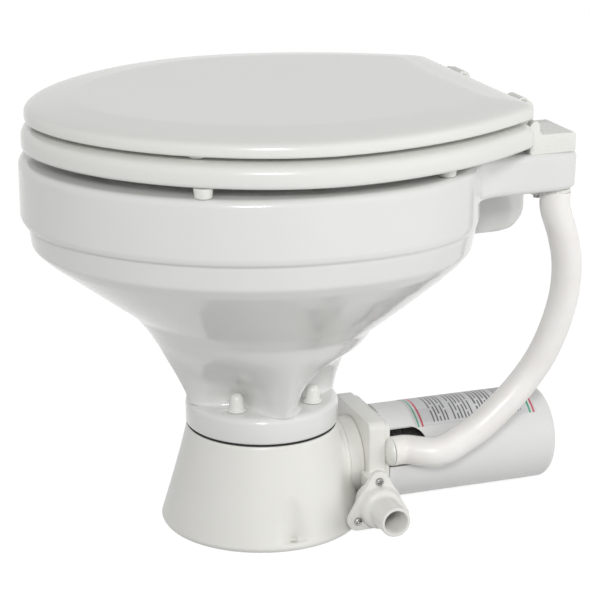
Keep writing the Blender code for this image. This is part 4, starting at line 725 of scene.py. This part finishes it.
def base_ring(height, shrink=0.0):
    """A ring of the wall, with a soft flute on the left and right over each floor screw."""
    radius = flare(max(height, 0.004))
    depth = max(radius - FLUTE_FACE, 0.0)
    depth *= min(max((height - FLUTE_FLOOR) / 0.0016, 0.0), 1.0)
    width = FLUTE_RADIUS
    if depth < FLUTE_RADIUS:
        width = math.sqrt(max(2 * FLUTE_RADIUS * depth - depth * depth, 0.0))
    ring = []
    for angle in BASE_ANGLES:
        across = radius * math.sin(angle)
        inset = depth * math.exp(-1.1 * (across / width) ** 2) if width > 0.0005 else 0.0
        reach = radius - inset - shrink
        ring.append((reach * math.cos(angle), reach * math.sin(angle), height))
    return ring


def make_base_body():
    """Hollow pedestal with its spigot and passage for the macerator, and its floor screw holes."""
    inside = ((0.020, 0.008), (0.0553, 0.008), (0.0553, 0.076), (0.030, 0.076), (0.030, BASE_HEIGHT))
    rings = [circle(radius, height, BASE_ANGLES) for radius, height in inside]
    rings += [base_ring(BASE_HEIGHT, 0.0010), base_ring(0.0847, 0.0004), base_ring(0.0841)]
    height = 0.0820
    while height > 0.0100:
        rings.append(base_ring(height))
        height -= 0.0030
    for height in (0.0098, 0.0088, 0.0082, 0.0077, 0.0072, 0.0067, 0.0064, 0.0050, 0.0040):
        rings.append(base_ring(height))
    for height, shrink in ((0.0026, 0.0005), (0.0012, 0.0013), (0.0003, 0.0022), (0.0, 0.0030)):
        rings.append(base_ring(height, shrink))
    mesh = loft(rings, cap=True)
    spigot = [(0.0, 0.068), (0.036, 0.068), (0.036, 0.0645), (0.0396, 0.060), (0.0396, 0.030), (0.0, 0.030)]
    mesh = joined(mesh, moved(turned(rounded(spigot, 0.0016), AXIS_Y, 96), up=PUMP_Z))
    mesh = cut(mesh, moved(rod(0.024, 0.08, 0.030, AXIS_Y, 64), up=PUMP_Z))
    mesh = cut(mesh, moved(rod(0.0375, 0.095, 0.068, AXIS_Y, 96), up=PUMP_Z))
    mesh = cut(mesh, block((-0.0445, 0.0795, -0.01), (0.0445, 0.10, 0.0485)))
    for side in (-1, 1):
        hole = turned([(0.0, 0.012), (0.0046, 0.012), (0.0046, 0.0070), (0.0035, 0.0058), (0.0035, -0.01),
                       (0.0, -0.01)], turns=40)
        mesh = cut(mesh, moved(hole, across=side * FLOOR_SCREW_X))
    return mesh


place("base_body", make_base_body(), "housing", nodes=("base",), sharp=40.0)
GASKET = rounded([(0.031, 0.0853), (0.0632, 0.0853), (0.0632, 0.0862), (0.031, 0.0862)], 0.0003, 2, True)
place("base_gasket_ring", turned(GASKET, turns=96, closed=True), "rubber",
      nodes=("base_gasket",))


# Seat and lid
LID_Y = 0.0038
LID_HALF = 0.180
LID_FRONT = 0.196
LID_REAR = 0.1889
LID_REAR_HALF = 0.1106
LID_CORNER = 0.016
OVAL_POWER = 1.80
SIDE_POWER = 2.08
EDGE_GAP = 0.0003
SEAT_Z = 0.3310
SEAT_TOP = 0.3509
LID_Z = 0.3539
LID_TOP = 0.3703


def lid_outline(grow=0.0, rear_inset=0.0):
    """Egg shaped front with sides that close in to a straight rear edge with round corners."""
    half = LID_HALF + grow
    front = LID_FRONT + grow
    rear_half = LID_REAR_HALF + grow
    length = LID_REAR - rear_inset
    corner = LID_CORNER
    points = []
    for step in range(97):
        angle = math.pi * (1 + step / 96)
        across, along = math.cos(angle), math.sin(angle)
        points.append((math.copysign(abs(across) ** (2 / OVAL_POWER), across) * half,
                       LID_Y - abs(along) ** (2 / OVAL_POWER) * front))
    share = 1.0
    for _ in range(30):
        lean = math.atan((half - rear_half) * SIDE_POWER * share ** (SIDE_POWER - 1) / length)
        share = (length - corner * (1 - math.sin(lean))) / length
    side = []
    for step in range(1, 29):
        part = share * step / 28
        side.append((half - (half - rear_half) * part ** SIDE_POWER, LID_Y + length * part))
    centre = (side[-1][0] - corner * math.cos(lean), LID_Y + length - corner)
    for step in range(1, 9):
        angle = lean + (math.pi / 2 - lean) * step / 8
        side.append((centre[0] + corner * math.cos(angle), centre[1] + corner * math.sin(angle)))
    points += side
    for step in range(1, 12):
        points.append((side[-1][0] * (1 - 2 * step / 12), LID_Y + length))
    points += [(-across, along) for across, along in reversed(side)]
    return points


def drawn_in(outline, distance, height):
    """The outline, drawn towards its middle by a distance, as a ring at a height."""
    ring = []
    for across, along in outline:
        reach = math.hypot(across, along - LID_Y)
        share = 1 - distance / reach
        ring.append((across * share, LID_Y + (along - LID_Y) * share, height))
    return ring


# The lid's margin: distance in from the edge, then drop below the flat top
MARGIN = (
    (0.0002, 0.0086), (0.0010, 0.0074), (0.0024, 0.0062), (0.0046, 0.0052), (0.0080, 0.0043),
    (0.013, 0.0034), (0.019, 0.0026), (0.025, 0.0019), (0.030, 0.0014), (0.034, 0.0009), (0.037, 0.0005),
    (0.040, 0.0003), (0.045, 0.0002), (0.070, 0.0001), (0.110, 0.0), (0.150, 0.0), (0.172, 0.0),
)


def make_lid_body():
    """Flat top inside a broad margin that slopes down to a rounded edge."""
    outline = lid_outline()
    edge = 0.0030
    rings = [drawn_in(outline, distance, LID_Z + 0.0003) for distance in (0.170, 0.090, 0.012)]
    for turn in quarter(4):
        height = LID_Z + edge * (1 - math.cos(turn)) * 0.8
        rings.append(drawn_in(outline, edge * (1 - math.sin(turn)), height))
    rings.append(drawn_in(outline, 0.0, LID_TOP - 0.0113))
    for distance, drop in MARGIN:
        rings.append(drawn_in(outline, distance, LID_TOP - drop))
    return loft(rings, cap=True)


place("lid_panel", make_lid_body(), "enamel", "lid", ("lid",))


def hole_outline(outline):
    """The seat's opening, with a point for each point of the outline round it."""
    points = []
    for across, along in outline:
        angle = math.atan2(along - LID_Y, across)
        length = 0.118 if angle > 0 else 0.126
        radius = 1 / math.hypot(math.cos(angle) / 0.104, math.sin(angle) / length)
        points.append((radius * math.cos(angle), LID_Y + radius * math.sin(angle)))
    return points


# The seat's section: distance in from its edge, then height over its underside
SEAT_SECTION = (
    (0.0045, 0.0), (0.0022, 0.0004), (0.0007, 0.0015), (0.0, 0.0034), (0.0, 0.0100), (0.0003, 0.0124),
    (0.0012, 0.0145), (0.0028, 0.0161), (0.0052, 0.0174), (0.0085, 0.0184), (0.0130, 0.0192),
    (0.0190, 0.0197), (0.0250, 0.0199),
)


def make_seat_body():
    outer = lid_outline(0.003, 0.001)
    inner = hole_outline(outer)
    rings = [drawn_in(outer, distance, SEAT_Z + up) for distance, up in SEAT_SECTION]
    rings += [drawn_in(inner, -distance * 0.8, SEAT_Z + up) for distance, up in reversed(SEAT_SECTION)]
    return loft(rings, closed=True)


place("seat_ring", make_seat_body(), "enamel", "seat", ("seat",))


def pad(low, high):
    """A rest bumper."""
    return turned(rounded([(0.0, high), (0.0075, high), (0.0068, low), (0.0, low)], 0.0012), turns=40)


for number, (side, along) in enumerate(((-1, -0.5), (-1, 0.5), (1, -0.5), (1, 0.5)), start=1):
    mesh = moved(pad(RIM_Z + EDGE_GAP, SEAT_Z - EDGE_GAP), side * 0.8 * LID_HALF, LID_Y + along * LID_FRONT)
    place(f"seat_pad_{number}", mesh, "fitting", "seat", (f"seat_bumper_{number}",))
for number, side in enumerate((-1, 1), start=1):
    across = side * 0.735 * LID_HALF
    mesh = moved(pad(SEAT_TOP + EDGE_GAP, LID_Z - EDGE_GAP), across, LID_Y - 0.5 * LID_FRONT)
    place(f"lid_pad_{number}", mesh, "fitting", "lid", (f"lid_bumper_{number}",))


# Caps over the foot bolts
CAP_CIRCLE = 0.047


def make_cap():
    profile = [(0.0, 0.1243), (0.0022, 0.1241), (0.0038, 0.1233), (0.0049, 0.1218), (0.0056, 0.1195),
               (0.0060, 0.1165), (0.0063, 0.1125), (0.0066, 0.1114), (0.0074, 0.1112), (0.0080, 0.1106),
               (0.0080, 0.1098), (0.0075, 0.1093), (0.0, 0.1093)]
    return turned(profile, turns=40)


for number, degrees in enumerate((45, 135, 225, 315), start=1):
    angle = math.radians(degrees)
    mesh = moved(make_cap(), CAP_CIRCLE * math.cos(angle), CAP_CIRCLE * math.sin(angle))
    place(f"bolt_cap_{number}", mesh, "fitting", nodes=(f"foot_cap_{number}",),
          sharp=70.0)


# Hinge covers
EAR_Y = 0.1974
EAR_Z = 0.3450
EAR_RADIUS = 0.0040
COVER_INNER = 0.050
COVER_OUTER = 0.1005
EAR_INNER = 0.0935


def mirrored(mesh, side):
    """The mesh as it is, or on the other side where side is -1."""
    mesh.transform(Matrix.Scale(side, 4, Vector((1.0, 0.0, 0.0))))
    return outward(mesh) if side < 0 else mesh


def make_hinge_cover():
    """Hollow cover with its slot for the post and an ear with a round top."""
    shell = prism(round_corners(0.1934, 0.2339, 0.3220, 0.3377, 0.0020), COVER_INNER, COVER_OUTER, FACING_X)
    ear = [(0.1934, 0.3300), (0.2034, 0.3300), (0.2034, 0.3377), (0.2022, 0.3395), (0.2014, 0.3415)]
    for step in range(13):
        angle = math.pi * step / 12
        ear.append((EAR_Y + EAR_RADIUS * math.cos(angle), EAR_Z + EAR_RADIUS * math.sin(angle)))
    mesh = eased(joined(shell, prism(ear, EAR_INNER, COVER_OUTER, FACING_X)), 0.0013)
    mesh = cut(mesh, block((0.0522, 0.1956, 0.3200), (0.0983, 0.2317, 0.3355)))
    return cut(mesh, block((0.0697, 0.1959, 0.3300), (0.0788, 0.2061, 0.3400)))


for side, word in ((-1, "left"), (1, "right")):
    place(f"cover_{word}", mirrored(make_hinge_cover(), side), "fitting",
          nodes=(f"hinge_cover_{word}",))


# Macerator and pump
PORT_Y = 0.0785
PORT_Z = 0.0240
PORT_BORE = 0.0098
LOBE_CIRCLE = 0.0220
SCREW_PLACES = ((PORT_Y, 0.0460), (0.0595, 0.0130), (0.0975, 0.0130))


def port_outline(lobe):
    """Three round lobes, one over each screw of the port, with straight sides between."""
    points = []
    for index in range(3):
        middle = math.pi / 2 + math.tau * index / 3
        along = PORT_Y + LOBE_CIRCLE * math.cos(middle)
        up = PORT_Z + LOBE_CIRCLE * math.sin(middle)
        for step in range(13):
            angle = middle + math.tau / 6 * (step / 6 - 1.0)
            points.append((along + lobe * math.cos(angle), up + lobe * math.sin(angle)))
    return points


def make_macerator_shell():
    """The ring of the housing that shows between spigot and plate."""
    corners = [(0.0240, 0.0807), (0.0345, 0.0807), (0.0345, 0.0683), (0.0240, 0.0683)]
    return moved(turned(rounded(corners, 0.0012, closed=True), AXIS_Y, 96, True), up=PUMP_Z)


def make_pump_plate():
    """Plate shaped body with its neck, the boss behind the port and the land that the port lies on."""
    plate = prism(round_corners(-0.0430, 0.0430, 0.0035, 0.0860, 0.0080, 8), 0.0810, 0.0960, FACING_Y)
    neck = block((0.0353, 0.0764, 0.0060), (0.0590, 0.0945, 0.0420))
    mesh = joined(eased(plate, 0.0012), eased(neck, 0.0016))
    boss = turned(rounded([(0.0, 0.0640), (0.0140, 0.0640), (0.0140, 0.0530), (0.0, 0.0530)], 0.0008, 3),
                  AXIS_X, 56)
    mesh = joined(mesh, moved(boss, along=PORT_Y, up=PORT_Z))
    mesh = joined(mesh, eased(prism(port_outline(0.0060), 0.0632, 0.0667, FACING_X), 0.0008))
    mesh = cut(mesh, moved(rod(0.0240, 0.0930, 0.0700, AXIS_Y, 56), up=PUMP_Z))
    return cut(mesh, moved(rod(PORT_BORE, 0.0700, 0.0560, AXIS_X, 48), along=PORT_Y, up=PORT_Z))


def make_port():
    """Three cornered flange with a flared collar that runs into the hose tail."""
    mesh = eased(prism(port_outline(0.0085), 0.0670, 0.0730, FACING_X), 0.0011)
    profile = [(0.0, 0.1100), (0.0110, 0.1100), (0.0121, 0.1098), (0.0127, 0.1091), (0.0128, 0.1080),
               (0.0128, 0.0870), (0.0131, 0.0852), (0.0138, 0.0838), (0.0150, 0.0828), (0.0163, 0.0819),
               (0.0172, 0.0806), (0.0177, 0.0790), (0.0180, 0.0765), (0.0183, 0.0745), (0.0190, 0.0732),
               (0.0200, 0.0722), (0.0, 0.0722)]
    mesh = joined(mesh, moved(turned(profile, AXIS_X, 72), along=PORT_Y, up=PORT_Z))
    bore = [(0.0, 0.1110), (0.0115, 0.1110), (0.0103, 0.1098), (PORT_BORE, 0.1088), (PORT_BORE, 0.0600),
            (0.0, 0.0600)]
    mesh = cut(mesh, moved(turned(bore, AXIS_X, 64), along=PORT_Y, up=PORT_Z))
    seat = [(0.0, 0.0760), (0.0040, 0.0760), (0.0040, 0.0727), (0.0020, 0.0727), (0.0020, 0.0600),
            (0.0, 0.0600)]
    for along, up in SCREW_PLACES:
        mesh = cut(mesh, moved(turned(seat, AXIS_X, 32), along=along, up=up))
    return mesh


def make_screw():
    """Pan head with a cross recess."""
    head = turned([(0.0, 0.0750), (0.0013, 0.07495), (0.0023, 0.0746), (0.0030, 0.0741), (0.0034, 0.0735),
                   (0.0034, 0.0729), (0.0016, 0.0729), (0.0016, 0.0660), (0.0, 0.0660)], AXIS_X, 32)
    for angle in (0.35, 0.35 + math.pi / 2):
        arm = block((0.0731, -0.0023, -0.00055), (0.0760, 0.0023, 0.00055))
        arm.transform(Matrix.Rotation(angle, 4, "X"))
        head = cut(head, arm)
    return head


place("macerator_shell", make_macerator_shell(), "housing", nodes=("macerator_housing",))
place("pump_plate", make_pump_plate(), "housing", nodes=("pump_body",))
place("port_elbow", make_port(), "housing", nodes=("discharge_port",))
for number, (along, up) in enumerate(SCREW_PLACES, start=1):
    place(f"cross_screw_{number}", moved(make_screw(), along=along, up=up), "steel",
          nodes=(f"port_screw_{number}",))


# Rinse pump
BARB_X = 0.0415
BARB_Z = 0.0585


def make_rinse_body():
    """Thin plate with a barrel and two hose barbs, each on a rounded dome."""
    plate = prism(round_corners(-0.0400, 0.0400, 0.0065, 0.0830, 0.0060, 8), 0.0963, 0.1010, FACING_Y)
    mesh = joined(eased(plate, 0.0008), moved(rod(0.0260, 0.1100, 0.0975, AXIS_Y, 72), up=PUMP_Z))
    for side in (-1, 1):
        barb = [(0.0, 0.1140), (0.0080, 0.1140), (0.0086, 0.1130), (0.0080, 0.1095), (0.0086, 0.1085),
                (0.0080, 0.1050), (0.0080, 0.1012), (0.0124, 0.1012), (0.0122, 0.1000), (0.0112, 0.0984),
                (0.0092, 0.0968), (0.0065, 0.0960), (0.0, 0.0957)]
        mesh = joined(mesh, moved(turned(barb, AXIS_Y, 48), across=side * BARB_X, up=BARB_Z))
        mesh = cut(mesh, moved(rod(0.0065, 0.1160, 0.0975, AXIS_Y, 40), across=side * BARB_X, up=BARB_Z))
    mesh = cut(mesh, moved(rod(0.0045, 0.12, 0.09, AXIS_Y, 32), up=PUMP_Z))
    return cut(mesh, moved(rod(0.0185, 0.12, 0.0995, AXIS_Y, 56), up=PUMP_Z))


place("rinse_body", make_rinse_body(), "fitting", nodes=("rinse_pump_body",))


# Motor shroud
SHROUD_RADIUS = 0.0410
SHROUD_END = 0.2600
SHROUD_WALL = 0.0025
SHROUD_EDGE = 0.0080
NOTCH_Y = 0.1223
NOTCH_HALF = 0.0150


def make_shroud():
    """Round cap over the motor, with a notch on each side for a hose."""
    centre = (SHROUD_RADIUS - SHROUD_EDGE, SHROUD_END - SHROUD_EDGE)
    hollow = SHROUD_EDGE - SHROUD_WALL
    outside = [(0.0, SHROUD_END)]
    inside = [(0.0, SHROUD_END - SHROUD_WALL)]
    for turn in reversed(quarter(8)):
        outside.append((centre[0] + SHROUD_EDGE * math.cos(turn), centre[1] + SHROUD_EDGE * math.sin(turn)))
        inside.append((centre[0] + hollow * math.cos(turn), centre[1] + hollow * math.sin(turn)))
    profile = outside + [(SHROUD_RADIUS, 0.1018), (0.0406, 0.1013), (0.0388, 0.1013), (0.0385, 0.1016)]
    profile += list(reversed(inside))
    mesh = moved(turned(profile, AXIS_Y, 144), up=PUMP_Z)
    for side in (-1, 1):
        outline = [(0.0990, BARB_Z + NOTCH_HALF), (0.0990, BARB_Z - NOTCH_HALF)]
        for step in range(25):
            angle = math.pi * (step / 24 - 0.5)
            outline.append((NOTCH_Y + NOTCH_HALF * math.cos(angle), BARB_Z + NOTCH_HALF * math.sin(angle)))
        low, high = sorted((side * 0.0262, side * 0.0440))
        mesh = cut(mesh, prism(outline, low, high, FACING_X))
    return mesh


place("motor_shroud", make_shroud(), "shroud", nodes=("motor_cover",), sharp=32.0)


# Label
LABEL_START = 0.1292
LABEL_END = 0.2440
LABEL_RADIUS = SHROUD_RADIUS + 0.00015
LABEL_FROM = 44.0
LABEL_SWEEP = 72.0
LABEL_ROWS = 96
LABEL_COLUMNS = 260
GREEN = (0.10, 0.42, 0.26)
RED = (0.62, 0.12, 0.16)
INK = (0.16, 0.16, 0.17)
STRIPES = ((0.1312, GREEN), (0.1350, RED), (0.2365, GREEN), (0.2400, RED))
STRIPE_WIDTH = 0.0016
LINES_START = 0.1470
LINES_END = 0.2300
LINE_PITCH = 0.0033
EMPTY_LINES = (5, 12, 19)


def print_and_painted_sheen(along, around):
    """Silver plate: straight stripes near its ends and rows of fine lines between, on silver with a painted
    sheen that brightens and darkens round the shroud's curve.
    """
    for start, colour in STRIPES:
        if start <= along < start + STRIPE_WIDTH:
            return colour
    if LINES_START <= along < LINES_END and 0.06 <= around <= 0.92:
        row = (along - LINES_START) / LINE_PITCH
        gap = 0.30 + 0.14 * math.sin(int(row) * 2.4)
        if row % 1.0 < 0.42 and int(row) not in EMPTY_LINES and not gap < around < gap + 0.05:
            return INK
    # Painted sheen: the silver brightens and then darkens round the shroud's curve, as a reflection would
    silver = 0.60 + 0.14 * math.sin(around * 4.2 + 0.9)
    return (silver, silver, silver * 1.01)


def make_label():
    """A thin plate round the shroud's top and side, with its print and its painted sheen as colours in a
    mesh attribute.
    """
    vertices = []
    faces = []
    colours = []
    length = LABEL_END - LABEL_START
    beside = LABEL_COLUMNS + 1
    for row in range(LABEL_ROWS + 1):
        angle = math.radians(LABEL_FROM + LABEL_SWEEP * row / LABEL_ROWS)
        for column in range(LABEL_COLUMNS + 1):
            along = LABEL_START + length * column / LABEL_COLUMNS
            up = PUMP_Z + LABEL_RADIUS * math.sin(angle)
            vertices.append((LABEL_RADIUS * math.cos(angle), along, up))
    for row in range(LABEL_ROWS):
        for column in range(LABEL_COLUMNS):
            corner = row * beside + column
            faces.append((corner, corner + beside, corner + beside + 1, corner + 1))
            along = LABEL_START + length * (column + 0.5) / LABEL_COLUMNS
            colours.append(print_and_painted_sheen(along, (row + 0.5) / LABEL_ROWS))
    mesh = new_mesh("label", vertices, faces)
    layer = mesh.color_attributes.new("print_and_sheen", "FLOAT_COLOR", "CORNER")
    for face in mesh.polygons:
        for corner in face.loop_indices:
            layer.data[corner].color = (*colours[face.index], 1.0)
    return mesh


place("motor_label", make_label(), "label")


# Rinse hose
HOSE_POINTS = (
    (BARB_X, 0.1013, BARB_Z), (BARB_X, 0.1143, BARB_Z), (0.0475, 0.1245, 0.0580), (0.0532, 0.1350, 0.0575),
    (0.0546, 0.1460, 0.0595), (0.0546, 0.1580, 0.0650), (0.0545, 0.1785, 0.0765), (0.0548, 0.2018, 0.0963),
    (0.0565, 0.2203, 0.1177), (0.0605, 0.2325, 0.1400), (0.0650, 0.2415, 0.1680), (0.0705, 0.2448, 0.1955),
    (0.0755, 0.2427, 0.2230), (0.0800, 0.2355, 0.2480), (0.0830, 0.2265, 0.2714), (0.0830, 0.2265, 0.2854),
)
HOSE_RADIUS = 0.0125
HOSE_BORE = 0.0096
HOSE_START_GAP = 0.0001


def smooth_path(points, steps):
    """Points along a smooth curve through the given ones."""
    path = []
    places = [Vector(point) for point in points]
    for index in range(len(places) - 1):
        before = places[max(index - 1, 0)]
        start = places[index]
        end = places[index + 1]
        after = places[min(index + 2, len(places) - 1)]
        for step in range(steps):
            part = step / steps
            path.append((start * 2 + (end - before) * part
                         + (before * 2 - start * 5 + end * 4 - after) * part ** 2
                         + (start * 3 - before - end * 3 + after) * part ** 3) / 2)
    path.append(places[-1])
    return path


def tube_rings(path, radius, turns):
    """Rings square to the path, carried along it without twist."""
    rings = []
    side = Vector((1.0, 0.0, 0.0))
    for index, point in enumerate(path):
        ahead = (path[min(index + 1, len(path) - 1)] - path[max(index - 1, 0)]).normalized()
        side = (side - ahead * side.dot(ahead)).normalized()
        up = ahead.cross(side)
        rings.append([tuple(point + radius * (side * math.cos(math.tau * turn / turns)
                                              + up * math.sin(math.tau * turn / turns)))
                      for turn in range(turns)])
    return rings


def make_hose():
    """The hose's mesh, and its centre line in the frame."""
    path = smooth_path(HOSE_POINTS, 7)
    path[0] = path[0] + Vector((0.0, HOSE_START_GAP, 0.0))
    outside = tube_rings(path, HOSE_RADIUS, 56)
    inside = tube_rings(path, HOSE_BORE, 56)
    mesh = loft(outside + list(reversed(inside)), closed=True)
    return mesh, [point + Vector((0.0, BASE_Y, 0.0)) for point in path]


hose_mesh, hose_path = make_hose()
hose = place("hose_tube", hose_mesh, "hose", nodes=("rinse_hose",), sharp=50.0)


# Floor
FLOOR_BOUNCE = 0.56  # how pale the floor is to the light that it throws back
FLOOR_GLOW = 0.92  # what the camera and the gloss see of it without any lamp
FLOOR_PALE = 0.22  # what lamps add to that, less where the object's shadow falls
FLOOR_HALF = 6.0
FLOOR_Z = -0.0003


def make_floor():
    """Plain pale floor that keeps the object's shadow."""
    corners = [(FLOOR_HALF * x, FLOOR_HALF * y, FLOOR_Z) for x, y in ((-1, -1), (1, -1), (1, 1), (-1, 1))]
    floor = new_mesh("floor", corners, [(0, 1, 2, 3)])
    paper = bpy.data.materials.new("floor_paper")
    paper.use_nodes = True
    nodes = paper.node_tree.nodes
    links = paper.node_tree.links
    nodes.clear()
    shown = any_ray(nodes, links, "Is Camera Ray", "Is Transmission Ray", "Is Glossy Ray")
    dull = nodes.new("ShaderNodeBsdfDiffuse")
    dull.inputs["Color"].default_value = (FLOOR_BOUNCE, FLOOR_BOUNCE, FLOOR_BOUNCE, 1.0)
    soft = nodes.new("ShaderNodeBsdfDiffuse")
    soft.inputs["Color"].default_value = (FLOOR_PALE, FLOOR_PALE, FLOOR_PALE, 1.0)
    glow = nodes.new("ShaderNodeEmission")
    glow.inputs["Color"].default_value = (1.0, 1.0, 1.0, 1.0)
    glow.inputs["Strength"].default_value = FLOOR_GLOW
    bright = nodes.new("ShaderNodeAddShader")
    links.new(soft.outputs[0], bright.inputs[0])
    links.new(glow.outputs[0], bright.inputs[1])
    choice(nodes, links, shown, dull, bright, "ShaderNodeOutputMaterial")
    floor.materials.append(paper)
    item = link(bpy.data.objects.new("floor", floor))


make_floor()
